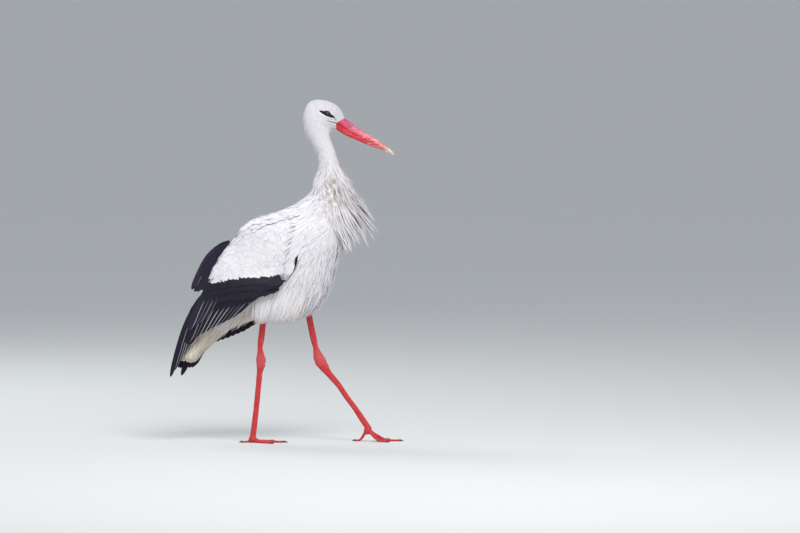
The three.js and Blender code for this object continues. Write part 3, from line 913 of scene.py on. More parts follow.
white, tree, shader = new_finish("white_feather", (0.86, 0.845, 0.83), 0.78, Sheen_Weight=0.15)
colour, shade, _, _ = feather_base(tree, (0.87, 0.85, 0.865), (0.78, 0.69, 0.50), (0.36, 0.285, 0.23))
shade = mix_colours(tree, shade, (1, 1, 1), (0.88, 0.865, 0.915))
colour = mix_colours(tree, 1.0, colour, shade, "MULTIPLY")
vane = node(tree, "ShaderNodeUVMap", uv_map="vane").outputs[0]
strands = noise(tree, stretched(tree, vane, (26, 1.6, 1)), 1, 3)
strand_shade = ramp(tree, strands, [(0.35, (0.90, 0.89, 0.92)), (0.55, (1, 1, 1))])
colour = mix_colours(tree, 1.0, colour, strand_shade, "MULTIPLY")
barb_bump = bump(tree, shader, barb_lines(tree, vane, 14, 1.5), 0.0002, 0.4)
bump(tree, shader, strands, 0.0003, 0.5, barb_bump)
paint(tree, shader, colour)

# %% Skin
skin_finish, tree, shader = new_finish("skin_finish", (0.80, 0.78, 0.77), 0.75, Specular_IOR_Level=0.25)
SKIN_COLOURS = ((0.80, 0.78, 0.80), (0.74, 0.66, 0.50), (0.48, 0.39, 0.32))
colour, black_skin_and_fold_shade, red_share, place = feather_base(tree, *SKIN_COLOURS)
# black skin, and the black painted shade in the face's folds
colour = mix_colours(tree, black_skin_and_fold_shade, colour, (0.004, 0.003, 0.006))
pores = noise(tree, place, 900, 3)
red = ramp(tree, pores, [(0.35, 0.0), (0.65, 1.0)])
red = mix_colours(tree, red, (0.42, 0.022, 0.028), (0.66, 0.06, 0.06))
colour = mix_colours(tree, red_share, colour, red)
paint(tree, shader, colour)
bump(tree, shader, pores, 0.0004, 0.5)
skin_mesh.materials.clear()
skin_mesh.materials.append(skin_finish)

# %% [markdown]
# ## Shapes of the folded wings
#
# Feathers of the wing are pressed onto the wing's own solids. The solids of one wing are melted together and
# smoothed, and a tree of their faces answers two questions quickly: where does a line from the side meet the
# wing, and which point of the wing is nearest.

# %% The wings' own shapes
def wing_form(names, voxel, smooth):
    mesh = melted("form", [swollen(name, 0.0006) for name in names], voxel, smooth)
    found = surface(mesh)
    bpy.data.meshes.remove(mesh)
    return found


forms = {}
for side, name in SIDES:
    members = ["wing_" + name + "_" + n for n in ("coverts", "secondaries", "primaries")]
    forms[side] = wing_form(members, 0.0032, 14)
    print("form", name, len(forms[side][1]), "faces")
raised_form = wing_form(["wing_left_tertials"], 0.002, 4)


# %% Pressing feathers onto a wing
def press(form, side, flat):
    """Places in the side view (x, z in mm) pressed onto a form: points in metres and normals."""
    points, normals = [], []
    for x, z in flat.reshape(-1, 2):
        start = Vector(metres([x, side * 300, z]))
        hit, normal, _, _ = form.ray_cast(start, Vector((0, -side, 0)))
        if hit is None:
            nearest = form.find_nearest(Vector(metres([x, side * 70, z])))[0]
            hit, normal = Vector((start.x, nearest.y, start.z)), Vector((0, side, 0))
        points.append(hit[:])
        normals.append(normal[:])
    shape = flat.shape[:-1] + (3,)
    return np.array(points).reshape(shape), np.array(normals).reshape(shape)


# %% Walking over a form
def walk(form, start, slopes, lengths, rows, levels):
    """Paths over a form from starts in metres, along slopes, with the normals of the form."""
    s, _ = steps_for("contour", rows)
    paths, normals = [], []
    for place, slope, length in zip(start, slopes, lengths):
        way = Vector((-math.cos(math.radians(slope)), 0, -math.sin(math.radians(slope))))
        here, normal, _, _ = form.find_nearest(Vector(place))
        path, sides = [here.copy()], [normal.copy()]
        for step in np.diff(s) * length:
            way = (way - normal * way.dot(normal)).normalized()
            ahead = here + way * step
            found, turned, _, gap = form.find_nearest(ahead)
            if gap < step * 0.5 and turned.dot(normal) > 0.3:
                ahead, normal = found, turned
            here = ahead
            path.append(here.copy())
            sides.append(normal.copy())
        paths.append(path)
        normals.append(sides)
    paths, normals = np.array(paths), np.array(normals)
    for _ in range(2):
        normals[:, 1:-1] = (normals[:, :-2] + normals[:, 1:-1] * 2 + normals[:, 2:]) / 4
    normals = unit(normals)
    lift = levels[:, :1] + (levels[:, 1:] - levels[:, :1]) * s
    return paths + normals * lift[..., None], normals


# %% [markdown]
# ## Feathers of the body
#
# The feathers are shortest round the bill, a few millimetres, and grow to about five centimetres on the tail.
# Each lies along the guide with its root at the skin and its tip near the true outline, so that every tip
# covers the roots behind it, as tiles do.

# %% How long and wide the body's feathers are
SIZE_ROWS = np.array([
    # section, length, half width, spacing, all in mm
    [0, 3.0, 0.65, 1.15], [2, 4.8, 0.9, 1.6], [5, 8, 1.25, 2.05], [10, 12.5, 1.7, 2.8], [13, 17, 2.6, 4.0],
    [15, 24, 3.4, 5.0], [17, 32, 4.4, 6.3], [20, 40, 5.8, 8.0], [26, 42, 6.2, 8.5], [28, 46, 6.4, 8.0],
    [31, 52, 7.0, 8.5], [34, 46, 6.5, 8.0],
])
LENGTH, HALF_WIDTH, SPACING = 1, 2, 3
OVERHANG = 18


def size_at(section, column):
    return np.interp(section, SIZE_ROWS[:, 0], SIZE_ROWS[:, column])


def turned_from_back(angle):
    """How far an angle is from the upper outline, from 0 to pi."""
    return np.abs(np.arctan2(np.sin(angle), np.cos(angle)))


# %% Growing a coat, and making its mesh
def grow(span, outline, rows, gap, lengths, lifts, swerve, keep=None, hang=None, by_size=True):
    """Feathers over a span of sections: t, angle and place of the roots, paths and normals.

    gap and lengths are shares of what SIZE_ROWS says, or mm when by_size is off. Near the tail's end a
    feather may only hang over by OVERHANG mm for each section left.
    """
    def size(section, column):
        return size_at(section, column) if by_size else np.ones(len(section))

    t, angle, point = body_roots(span, lambda section: gap * size(section, SPACING), keep)
    length = size(t * SECTIONS, LENGTH) * chance.uniform(*lengths, len(t))
    length = np.minimum(length, 1 + (1 - t) * SECTIONS * OVERHANG)
    lift = (lifts[0], chance.uniform(lifts[1], lifts[2], len(t)))
    droop = hang(t, point) if hang else 0.0
    swerves = chance.normal(0, swerve, len(t))
    return t, angle, point, *body_paths(t, angle, length, rows, outline, lift, swerves, droop)


# %% A coat's mesh as a piece
def dress(name, grown, outline, thickness, camber, ragged, half=None, marks=None):
    """The coat's mesh as a piece. half gives the range of half widths in metres, or they follow SIZE_ROWS."""
    t, angle, point, paths, normals = grown
    widths = size_at(t * SECTIONS, HALF_WIDTH) * 0.001 if half is None else chance.uniform(*half, len(t))
    marks = feather_marks(point) if marks is None else marks
    columns = (-1, -0.4, 0.3, 1) if outline == "contour" else (-1, 0, 1)
    mesh = vane_mesh(name, paths, normals, widths, outline, columns, thickness, camber,
                     body_unwrap(t, angle), marks, ragged)
    add_piece(name, mesh, white, "plumage_white")


# %% Head and neck
def bare_face(points_mm):
    """True where naked skin shows: black skin, black painted shade in the face's folds, and red skin."""
    gape, _, _, crease = mouth_fold(points_mm)
    marks = markings(points_mm)
    return (marks[:, 2] > 0.3) | (marks[:, 3] > 0.3) | (gape < 1.8) | (crease < 0.9)


grown = grow((0, 10.4), "tuft", 4, 1.0, (0.85, 1.15), (-0.05, 0.75, 1.25), 0.12,
             lambda angle, p: ~bare_face(p))
tips = millimetres(grown[3])
grown = picked(grown, ~bare_face(tips[:, -1]) & ~bare_face(tips[:, 2]))
dress("coat_head", grown, "tuft", 0.0002, 0.35, 0.08)
grown = grow((10.2, 17.6), "hackle", 6, 1.0, (0.85, 1.2), (-0.15, 0.7, 1.25), 0.12)
dress("coat_neck", grown, "hackle", 0.0003, 0.3, 0.08)

# %% Feathers that would sink into the thighs are lifted over them
skin_form, face_middles, face_ways = surface(skin_mesh)


def over_skin(paths, top=0.50, height=2.5):
    """Points of feathers that hang below top are lifted off the skin, the tips by the whole height in mm."""
    for path in paths:
        if path[:, 2].min() > top:
            continue
        for k, point in enumerate(path):
            hit, normal, _, gap = skin_form.find_nearest(Vector(point))
            wanted = height * 0.001 * (0.1 + 0.9 * k / (len(path) - 1))
            if (Vector(point) - hit).dot(normal) < wanted and gap < 0.03:
                path[k] = np.array(hit + normal * wanted)
        path[1:-1] = eased(path)


def close_to(form, paths, limit):
    """True for the paths whose points all stay within the limit, in metres, of the form."""
    return np.array([max(form.find_nearest(Vector(p))[3] for p in path[2:]) < limit for path in paths])


# %% Feathers that bend too much are left out
def straight(paths, limit):
    """True for the paths that are no longer than limit times the way from root to tip."""
    return path_lengths(paths) / np.linalg.norm(paths[:, -1] - paths[:, 0], axis=1) <= limit


# %% Feathers beside the wings
def over_wing(paths):
    """Feathers that cross a wing's front edge are raised to lie over it. Their points are in metres."""
    for side in (-1, 1):
        form = forms[side][0]
        for path in paths:
            on_black = path[-1, 0] < -0.010 and path[-1, 2] < 0.480
            behind = path[0, 0] < (-0.16 if path[0, 2] > 0.565 else -0.03)
            if side * path[0, 1] < 0.03 or path[0, 2] < 0.50 or behind or on_black:
                continue
            raised = np.zeros(len(path))
            clearance = 0.0004 if path[0, 0] > -0.03 else 0.0002
            for k, point in enumerate(path):
                hit = form.ray_cast(Vector((point[0], side * 0.3, point[2])), Vector((0, -side, 0)))[0]
                if hit is not None:
                    raised[k] = np.clip(side * (hit.y - point[1]) + clearance, 0, 0.016)
            raised = np.maximum.accumulate(raised)
            for k in range(len(path) - 2, -1, -1):
                raised[k] = max(raised[k], raised[k + 1] * 0.82)
            path[:, 1] += side * raised
            path[1:-1, 1] = eased(path[:, 1])


# %% Feathers kept off the wings, the far strip and the slit
def under_wing(point):
    """True well inside a wing's outline, where no body feather would show."""
    found = np.zeros(len(point), bool)
    for side in (-1, 1):
        form = forms[side][0]
        for i in np.nonzero(side * point[:, 1] > 25)[0]:
            x, _, z = metres(point[i])
            hits = [form.ray_cast(Vector((x + dx, side * 0.3, z + dz)), Vector((0, -side, 0)))[0] is not None
                    for dx, dz in ((0.012, 0.0), (0.0, 0.012), (0.0, -0.02))]
            found[i] = all(hits)
    return found


def above_strip(paths):
    """True for feathers that leave the black strip of the far wing open, under the tail."""
    x, _, z = millimetres(paths[:, -1]).T
    return (z > np.interp(x, [-195, -135, -100, -90], [287, 316, 341, 300])) | (x < -200) | (x > -90)


def off_slit(paths):
    """True for feathers that leave the dark slit at the near wing's bend open."""
    top, foot = metres([30, 0, 532]), metres([19, 0, 484])
    way = foot - top
    near = np.zeros(len(paths), bool)
    for point in (paths[:, -1], paths[:, -2], paths[:, -3], (paths[:, -1] + paths[:, -2]) / 2):
        share = np.clip((point - top) @ way / (way @ way), 0, 1)
        gap = point - top - share[:, None] * way
        near |= (np.hypot(gap[:, 0], gap[:, 2]) < 0.0045) & (point[:, 1] < 0)
    return ~near


# %% Back and sides
grown = grow((17.2, 29), "contour", 7, 0.94, (0.85, 1.15), (0.32, 0.94, 1.0), 0.10,
             lambda angle, p: (turned_from_back(angle) < 1.75) & ~under_wing(p))
over_wing(grown[3])
grown = picked(grown, off_slit(grown[3]) & straight(grown[3], 1.06))
dress("coat_back", grown, "contour", 0.0003, 0.08, 0.06)


# %% Breast and belly
def belly_hang(t, point):
    section = t * SECTIONS
    return 0.34 * rise(point[:, 2], 610, 430) * rise(section, 20, 23) * rise(-section, -27.5, -26)


grown = grow((16.6, 28.2), "hackle", 8, 5.3, (44, 66), (0.16, 0.86, 1.06), 0.12,
             lambda angle, p: (turned_from_back(angle) > 1.3) & ~under_wing(p), belly_hang, by_size=False)
over_wing(grown[3])
over_skin(grown[3])
grown = picked(grown, off_slit(grown[3]) & above_strip(grown[3]) & straight(grown[3], 1.10))
dress("coat_belly", grown, "hackle", 0.0003, 0.25, 0.06, (0.0028, 0.0042))

# %% Loose wisps along the breast and belly line
grown = grow((18.5, 27), "hackle", 8, 8.2, (50, 84), (0.2, 1.0, 1.45), 0.2,
             lambda angle, p: np.abs(turned_from_back(angle) - math.pi) < 1.0,
             lambda t, point: chance.uniform(0.12, 0.42, len(t)), by_size=False)
grown = picked(grown, above_strip(grown[3]))
dress("belly_wisps", grown, "hackle", 0.0003, 0.25, 0.04, (0.0018, 0.0030))

# %% Tail: broad feathers above, long soft ones under it
UNDER_SIDE = 1.15
grown = grow((27.8, 33.6), "contour", 7, 1.0, (0.85, 1.15), (-0.1, 0.85, 1.05), 0.1,
             lambda angle, p: turned_from_back(angle) <= UNDER_SIDE)
dress("coat_tail", grown, "contour", 0.0004, 0.18, 0.1)
grown = grow((27.2, 33.7), "hackle", 8, 4.6, (42, 78), (-0.1, 0.8, 1.5), 0.16,
             lambda angle, p: turned_from_back(angle) > UNDER_SIDE,
             lambda t, point: chance.uniform(0.0, 0.05, len(t)), by_size=False)
grown = picked(grown, above_strip(grown[3]))
count = len(grown[0])
marks = feather_marks(grown[2])
marks[:, 2] = chance.random(count)
marks[:, 0] = np.clip(marks[:, 0] * chance.uniform(0.45, 1.35, count), 0, 1)
marks[:, 1] = np.where(chance.random(count) < 0.3, 0.55, 0)
dress("coat_undertail", grown, "hackle", 0.0003, 0.3, 0.08, (0.0024, 0.0040), marks)

# %% [markdown]
# ## Breast plumes
#
# Long narrow hackles hang from the lower neck, loose from the breast, and the wind lifts them forwards in
# pointed locks. Each hackle starts on the neck, falls in a gentle curve, and is drawn towards the tip of its
# lock, which is what makes separate points out of hundreds of feathers.

# %% Locks: where each starts on the neck and where its tip hangs
LOCKS = np.array([
    # section, angle from the middle of the breast (right side positive), tip x, tip z in mm
    (13.1, -0.2, *(176, 727)), (13.5, 0.4, *(189, 693)),
    (13.3, -0.8, *(162, 718)), (13.8, 0.0, *(207, 668)), (14.0, 0.8, *(176, 687)), (14.2, -0.3, *(232, 626)),
    (14.4, 0.4, *(228, 643)), (14.6, -0.6, *(210, 645)), (14.8, 0.2, *(249, 617)), (15.0, 0.95, *(185, 640)),
    (15.3, 0.0, *(266, 575)), (15.4, 0.35, *(249, 589)), (15.8, -0.9, *(193, 617)), (15.8, 0.6, *(221, 587)),
    (16.0, 0.15, *(249, 564)), (16.0, 1.1, *(171, 601)), (16.2, -0.4, *(241, 573)), (16.6, 0.5, *(230, 546)),
    (16.9, 0.95, *(190, 564)), (17.0, 0.1, *(218, 559)), (17.0, -1.0, *(176, 578)), (17.3, 0.6, *(204, 554)),
    (17.6, -0.5, *(207, 550)), (17.8, 1.2, *(157, 564)), (17.9, 0.3, *(190, 542)), (18.2, 0.8, *(179, 536)),
    (18.4, 0.0, *(174, 536)), (18.6, -0.7, *(176, 542)), (18.8, 0.5, *(167, 528)), (19.2, -0.2, *(157, 533)),
])

# %% Hackles
EACH = 38
lock = np.repeat(LOCKS, EACH, 0)
section, off_middle, tip_x, tip_z = lock.T
count = len(lock)
first = (np.arange(count) % EACH) == 0
loose = np.where(first, 0.0, chance.random(count))
t = (section + chance.normal(0, 0.42, count)) / SECTIONS
angle = math.pi + off_middle + chance.normal(0, 0.16, count)
point, along, around = body_frame(t, angle)
outward = unit(np.cross(around, along))
root = point - outward * 2.5
tip = np.stack([tip_x, point[:, 1] * 1.15 * (1 - 0.25 * rise(tip_x, 200, 270)), tip_z], 1)
back = root - tip
reach = np.linalg.norm(back, axis=1)[:, None]
tip += back * (loose ** 1.4 * 0.42)[:, None]
tip += chance.normal(0, 1, (count, 3)) * (1.0 + 9 * loose)[:, None] * np.array([1, 0.9, 0.4])
follow = np.interp(section, [16.5, 18.5], [0.28, 0.06])[:, None]
stand_off = np.interp(section, [13, 14.5, 16.5, 18.5], [2, 7, 7, 3]) + 5 * loose
bend = root + outward * stand_off[:, None] + unit(along) * reach * follow
s, _ = steps_for("hackle", 10)
u = s[None, :, None]
paths = bowed(root[:, None], bend[:, None], tip[:, None], u)
paths += (chance.normal(0, 1, (count, 3)) * (1.5, 1.5, 0.4))[:, None] * np.sin(u * math.pi * 1.5)
normals = np.repeat(outward[:, None], len(s), 1)
half = chance.uniform(0.0014, 0.0027, count) * (1 - 0.4 * rise(np.abs(off_middle), 0.7, 1.0))
mesh = vane_mesh("breast_plumes", metres(paths), normals, half, "hackle", (-1, 0, 1),
                 0.0003, 0.3, body_unwrap(t, angle), feather_marks(point), ragged=0.03)
add_piece("breast_plumes", mesh, white, "plumage_white", "breast_plume")

# %% Thighs: soft plumes hang over the top of each leg and end in a fringe
HEM = np.array([
    # x, z of the fringe's lower edge in mm
    (-125, 356), (-90, 340), (-76, 337), (-50, 341), (-18, 341), (16, 343), (46, 350), (87, 378),
], float)
THIGHS = {
    # side: name, back and front, highest z, then back, front and top of the part all round the leg
    -1: ("right", -104, 55, 470, -100, -30, 352),
    1: ("left", -40, 100, 460, 38, 98, 376),
}
FRINGE_COUNT = 900


def hem_at(x):
    return np.interp(x, *HEM.T)


# %% The fringe that hangs to the hem
def fringe(side, back_x, front_x, count):
    """Plumes that leave the belly and hang to the hem: paths and normals."""
    x = chance.uniform(back_x, front_x, count)
    height = chance.uniform(16, 112, count)
    x -= 34 * chance.random(count) * rise(x, front_x - 60, front_x)
    z = hem_at(x) + height
    paths, normals = [], []
    s, _ = steps_for("hackle", 7)
    sways = chance.normal(-2, 5, count) - height * 0.30 * rise(x, back_x + 5, back_x + 70)
    sways -= 16 * rise(x, front_x - 70, front_x)
    outs = np.interp(height, [16, 60, 112], [0.001, 0.004, 0.0095]) * chance.uniform(0.8, 1.2, count)
    for px, pz, sway, drop, out in zip(x, z, sways, chance.normal(7, 5, count), outs):
        hit, normal, _, _ = skin_form.ray_cast(Vector(metres([px, side * 300, pz])), Vector((0, -side, 0)))
        if hit is None or side * hit.y < 0.004:
            continue
        root = np.array(hit[:]) - np.array(normal[:]) * 0.001
        end = metres([px + sway, 0, hem_at(px + sway) + drop])
        end[1] = hit.y * 0.93 + side * 0.002
        bend = root + np.array([sway * 0.0004, side * out, -0.42 * (root[2] - end[2])])
        paths.append(bowed(root, bend, end, s[:, None]))
        normals.append(np.tile(unit(np.array(normal[:]) + np.array([0, side * 0.6, 0])), (len(s), 1)))
    return np.array(paths), np.array(normals)


# %% Plumes rooted on the thighs
def thigh_plumes(side, back_x, front_x, high_z, leg_back, leg_front, leg_top):
    """Plumes rooted all over a thigh: paths and normals."""
    x, y, z = millimetres(face_middles).T
    outer_side = (x > back_x) & (x < front_x) & (z < high_z) & (face_ways[:, 1] * side > -0.1)
    round_leg = (x > leg_back) & (x < leg_front) & (z < leg_top)
    fit = (side * y > 8) & (z > 336) & (z > hem_at(x) + 5) & (outer_side | round_leg)
    places = face_middles[fit]
    places = places[chance.permutation(len(places))]
    places = places[spread(places, np.full(len(places), 0.0045))]
    count = len(places)
    x, _, z = millimetres(places).T
    room = z - hem_at(x - 4) + chance.uniform(-5, 9, count)
    length = np.clip(np.minimum(chance.uniform(34, 52, count), room), 12, None) * 0.001
    levels = np.stack([np.full(count, 0.001), chance.uniform(0.0050, 0.0085, count)], 1)
    slope = np.interp(z, [350, 400, 470], [84, 74, 46]) + chance.normal(0, 6, count)
    paths, normals = walk(skin_form, places, slope, length, 7, levels)
    falls = close_to(skin_form, paths, 0.016) & (paths[:, 0, 2] - paths[:, -1, 2] > length * 0.45)
    return paths[falls], normals[falls]


for side, (name, back_x, front_x, *rest) in THIGHS.items():
    short = thigh_plumes(side, back_x, front_x, *rest)
    hung = fringe(side, back_x + 14, front_x + 22, FRINGE_COUNT)
    paths, normals = (np.concatenate(pair) for pair in zip(short, hung))
    marks = feather_marks(millimetres(paths[:, 0]))
    half = chance.uniform(0.0014, 0.0024, len(paths))
    mesh = vane_mesh("coat_thigh_" + name, paths, normals, half, "hackle", (-1, 0, 1), 0.0003, 0.25,
                     body_unwrap(*on_guide(paths[:, 0])), marks, ragged=0.06)
    add_piece("coat_thigh_" + name, mesh, white, "plumage_white")

# %% [markdown]
# ## Wings
#
# The folded wing is laid out in the side view, where its feathers make clear rows, and then pressed onto the
# wing's own solid shape. White coverts and shoulder feathers lie over the black ones like tiles. The black
# part has a band of short coverts, a fan of secondaries with pale edges, the tertials over them and the long
# primaries at the tip.

# %% Black feathers
BLACK = (0.008, 0.007, 0.015)
black, tree, shader = new_finish("black_feather", BLACK, 0.55, Sheen_Weight=0.08,
                                 Sheen_Tint=(0.5, 0.42, 0.9, 1), Specular_IOR_Level=0.24)
vane = node(tree, "ShaderNodeUVMap", uv_map="vane").outputs[0]
edge_share, painted_sheen_share, _, _ = read_marks(tree)
across, lengthwise, _ = parts_of(tree, "XYZ", vane)
edge = product(tree, ramp(tree, across, [(0.0, 1.0), (0.055, 0.8), (0.11, 0.0)]), edge_share)
edge = product(tree, edge, ramp(tree, lengthwise, [(0.33, 0.0), (0.46, 1.0), (0.85, 0.9), (0.97, 0.15)]))
# Painted sheen: a lighter violet black stands in for the gloss on the black feathers, strongest on the raised
# tertials.
colour = mix_colours(tree, painted_sheen_share, BLACK, (0.048, 0.042, 0.070))
colour = mix_colours(tree, edge, colour, (0.60, 0.56, 0.60))
paint(tree, shader, colour)
bump(tree, shader, barb_lines(tree, vane, 22, 1.2), 0.0002, 0.4)


# %% Long feathers laid one by one: quill, middle and tip in the side view
FLIGHT_COLUMNS = np.array([-1, -0.9, -0.6, -0.32, -0.25, -0.18, 0.2, 0.6, 1])


def long_feathers(form, side, lines, rows, level, tilt):
    """Paths and normals of long feathers. level lifts root and tip, tilt raises the lower edge."""
    s, _ = steps_for("flight", rows)
    flat = np.stack([smooth_rows(line, s) for line in lines])
    points, normals = press(form, side, flat)
    for _ in range(4):
        points[:, 1:-1, 1] = eased(points[:, :, 1].T).T
    normals = unit(normals * 0.3 + normals.mean(1, keepdims=True))
    points += normals * (level[0] + (level[1] - level[0]) * s)[None, :, None]
    across = np.cross(unit(np.gradient(points, axis=1)), normals)
    return points, normals * math.cos(tilt) - across * math.sin(tilt) * side


# %% The wings' maps, and meshes joined
def wing_unwrap(side, points):
    x, _, z = millimetres(points).T
    u = 0.02 + 0.46 * np.clip((x + 340) / 420, 0, 1) + (0.5 if side > 0 else 0)
    return np.stack([u, 0.02 + 0.96 * np.clip((z - 160) / 540, 0, 1)], 1)


def flip_vane_map(mesh):
    """Turns the vane map over, so that its pale edge is the lower edge on the left wing too."""
    layer = mesh.uv_layers["vane"]
    uv = np.empty(len(layer.uv) * 2, np.float32)
    layer.uv.foreach_get("vector", uv)
    uv[0::2] = 1 - uv[0::2]
    layer.uv.foreach_set("vector", uv)


def join_meshes(name, meshes):
    """Several vane meshes as one, with their maps, marks and sharp rims."""
    whole = bmesh.new()
    for mesh in meshes:
        whole.from_mesh(mesh)
        bpy.data.meshes.remove(mesh)
    made = bpy.data.meshes.new(name)
    whole.to_mesh(made)
    whole.free()
    return made


# %% A wing's black feathers as one piece
def flight_piece(name, form, side, groups, *nodes):
    """A piece from groups of long feathers: lines, half widths, rows, level, tilt, pale edge, and the share
    of painted violet sheen.
    """
    meshes = []
    for k, (lines, widths, rows, level, tilt, edge, sheen_paint) in enumerate(groups):
        points, normals = long_feathers(form, side, lines, rows, level, tilt)
        marks = np.ones((len(lines), 4))
        marks[:, 0] = edge * chance.choice([0.25, 0.6, 0.8, 1.0], len(lines))
        marks[:, 1] = sheen_paint * chance.uniform(0.7, 1.0, len(lines))
        columns = FLIGHT_COLUMNS if side < 0 else -FLIGHT_COLUMNS[::-1]
        half = np.asarray(widths) * 0.001
        mesh = vane_mesh(name + str(k), points, normals, half, "flight", columns, 0.0007, 0.03,
                         wing_unwrap(side, points[:, 0]), marks, ragged=0.006, spine=0.03)
        if side > 0:
            flip_vane_map(mesh)
        meshes.append(mesh)
    return add_piece(name, join_meshes(name, meshes), black, "plumage_black", *nodes)


# %% Fans of feathers from where their tips end
def fan(tips, slopes, reaches, bow=2.0):
    """Lines that end at tips, with slopes in degrees below level, reaches and bow in mm."""
    lines = []
    for (x, z), slope, reach in zip(tips, slopes, reaches):
        c, d = math.cos(math.radians(slope)), math.sin(math.radians(slope))
        root = (x + reach * c, z + reach * d)
        lines.append([root, ((x + root[0]) / 2 - bow * d, (z + root[1]) / 2 + bow * c), (x, z)])
    return lines


def along_line(corners, count):
    """Evenly spaced points along a line of corners."""
    corners = np.asarray(corners, float)
    run = np.concatenate([[0], np.cumsum(np.linalg.norm(np.diff(corners, axis=0), axis=1))])
    places = np.linspace(0, run[-1], count)
    return np.stack([np.interp(places, run, corners[:, 0]), np.interp(places, run, corners[:, 1])], 1)


# %% Sets of long feathers
def steps_between(ends, count):
    first, last = np.array(ends)
    return [tuple(first + (last - first) * k / (count - 1)) for k in range(count)]


def laid(quills, middles, tips):
    """Lines to the tips from evenly spaced quills and middles, given by their first and last places."""
    return list(zip(steps_between(quills, len(tips)), steps_between(middles, len(tips)), tips))


def secondaries(corners, slopes, reaches, widths, count):
    """A fan of secondaries whose tips end along the corners."""
    lines = fan(along_line(corners, count), np.linspace(*slopes, count), np.linspace(*reaches, count), 3)
    return lines, np.linspace(*widths, count), 18, (-0.0006, 0.0010), 0.12, 1.0, 0.05


def primaries(quills, middles, tips):
    lines = laid(quills, middles, tips)
    return lines, np.linspace(10.5, 10, len(tips)), 20, (-0.0022, -0.0004), 0.11, 0.9, 0.05


# %% The band of short black coverts
def wing_band(lower, upper, slopes, count=17):
    """Three rows of black coverts whose tips end on the lines lower and upper, and above upper."""
    groups = []
    top = [(x + (3 if k else -12), z + 16) for k, (x, z) in enumerate(upper)]
    for corners, first, last, level in ((lower, 22, 62, (0.0002, 0.0016)), (upper, 20, 54, (0.0005, 0.0022)),
                                        (top, 27, 44, (0.0005, 0.0026))):
        tips = along_line(corners, count) + chance.normal(0, 1, (count, 2))
        reaches = np.interp(np.arange(count), [0, 4, 16], [first * 0.6, first + (last - first) / 4, last])
        lines = fan(tips, np.linspace(*slopes, count), reaches, 1)
        groups.append((lines, np.linspace(8, 12, count), 10, level, 0.09, 0.0, 0.22))
    return groups


def band_end(lines, widths):
    """A few short feathers that fill the front end of the band."""
    return lines, widths, 12, (0.0020, 0.0032), 0.0, 0.0, 0.22


# %% Near wing, right
fanned = secondaries([(-143, 365), (-157, 354), (-205, 329), (-239, 309), (-267, 293), (-281, 279)],
                     (40, 65), (105, 150), (9, 13), 11)
long_ones = primaries([(-218, 399), (-235, 421)], [(-256, 307), (-283, 330)],
                      [(-277, 279), (-287, 262), (-297, 242), (-306, 223), (-316, 203), (-326, 185)])
tertials = (laid([(-185, 455), (-216, 444)], [(-206, 399), (-245, 385)],
                 [(-235, 346), (-251, 336), (-263, 328), (-274, 315)]),
            np.linspace(12.5, 11, 4), 18, (0.0008, 0.0026), 0.11, 0.9, 0.3)
wrist = ([[(30, 530), (26, 509), (19, 484)], [(27, 526), (24, 510), (21, 495)]], [2.4, 2.8], 10,
         (0.0052, 0.0056), 0.0, 0.0, 0.0)
front = band_end([[(-62, 447), (-36, 452), (-13, 456)], [(-50, 449), (-28, 453), (-7, 457)],
                  [(-40, 450), (-20, 455), (-1, 458)], [(-56, 454), (-36, 462), (-19, 475)],
                  [(-58, 456), (-36, 460), (-14, 463)], [(-50, 439), (-32, 443), (-14, 449)]],
                 [9, 6, 3, 4.5, 5, 5.5])
band = wing_band([(-34, 433), (-70, 419), (-104, 414), (-155, 407), (-196, 396), (-224, 389)],
                 [(-20, 448), (-59, 438), (-104, 434), (-157, 427), (-204, 417), (-232, 407)], (20, 58))
flight_piece("wing_right_black", forms[-1][0], -1, [long_ones, fanned, tertials, wrist, front] + band,
             "wing_right_secondaries", "wing_right_primaries", "wing_right_tertials")

# %% Far wing, left: it hangs lower, with its tertials raised behind the back
fanned = secondaries([(-70, 349), (-104, 321), (-132, 304), (-174, 287), (-204, 277), (-227, 267)],
                     (50, 66), (110, 165), (10, 13), 13)
QUILLS, MIDDLES = [(-193, 377), (-216, 393)], [(-225, 293), (-256, 307)]
long_ones = primaries(QUILLS, MIDDLES,
                      [(-268, 207), (-276, 206), (-285, 205), (-292, 203), (-297, 185), (-306, 207)])
inner = (laid(QUILLS, MIDDLES, steps_between([(-264, 211), (-301, 206)], 6)),
         np.full(6, 11.0), 20, (-0.0030, -0.0012), 0.11, 0.5, 0.05)
front = band_end([[(-56, 416), (-28, 425), (-2, 433)], [(-52, 426), (-26, 436), (2, 444)],
                  [(-50, 438), (-28, 443), (-7, 448)], [(-186, 394), (-194, 380), (-201, 364)]], [9, 9, 7, 9])
band = wing_band([(-8, 427), (-42, 399), (-81, 388), (-132, 382), (-182, 382), (-221, 388)],
                 [(-8, 444), (-48, 421), (-87, 410), (-137, 405), (-188, 407), (-224, 419)], (30, 64))
flight_piece("wing_left_black", forms[1][0], 1, [inner, long_ones, fanned, front] + band,
             "wing_left_secondaries", "wing_left_primaries")
# The raised tertials carry the whole painted sheen, a lighter violet black.
raised = (laid([(-151, 546), (-162, 564)], [(-190, 505), (-220, 517)],
               [(-232, 435), (-241, 424), (-251, 419), (-259, 419), (-267, 426)]),
          np.linspace(11, 10, 5), 18, (0.0, 0.0016), 0.07, 0.5, 1.0)
flight_piece("wing_left_raised", raised_form[0], 1, [raised], "wing_left_tertials")

# %% [markdown]
# The white coverts and shoulder feathers are scattered over the wing. Each walks from its root over the
# wing's surface in the way that the feathers lie there: level and long along the back, steeper and shorter
# towards the black border, where the last row's tips make small bumps.

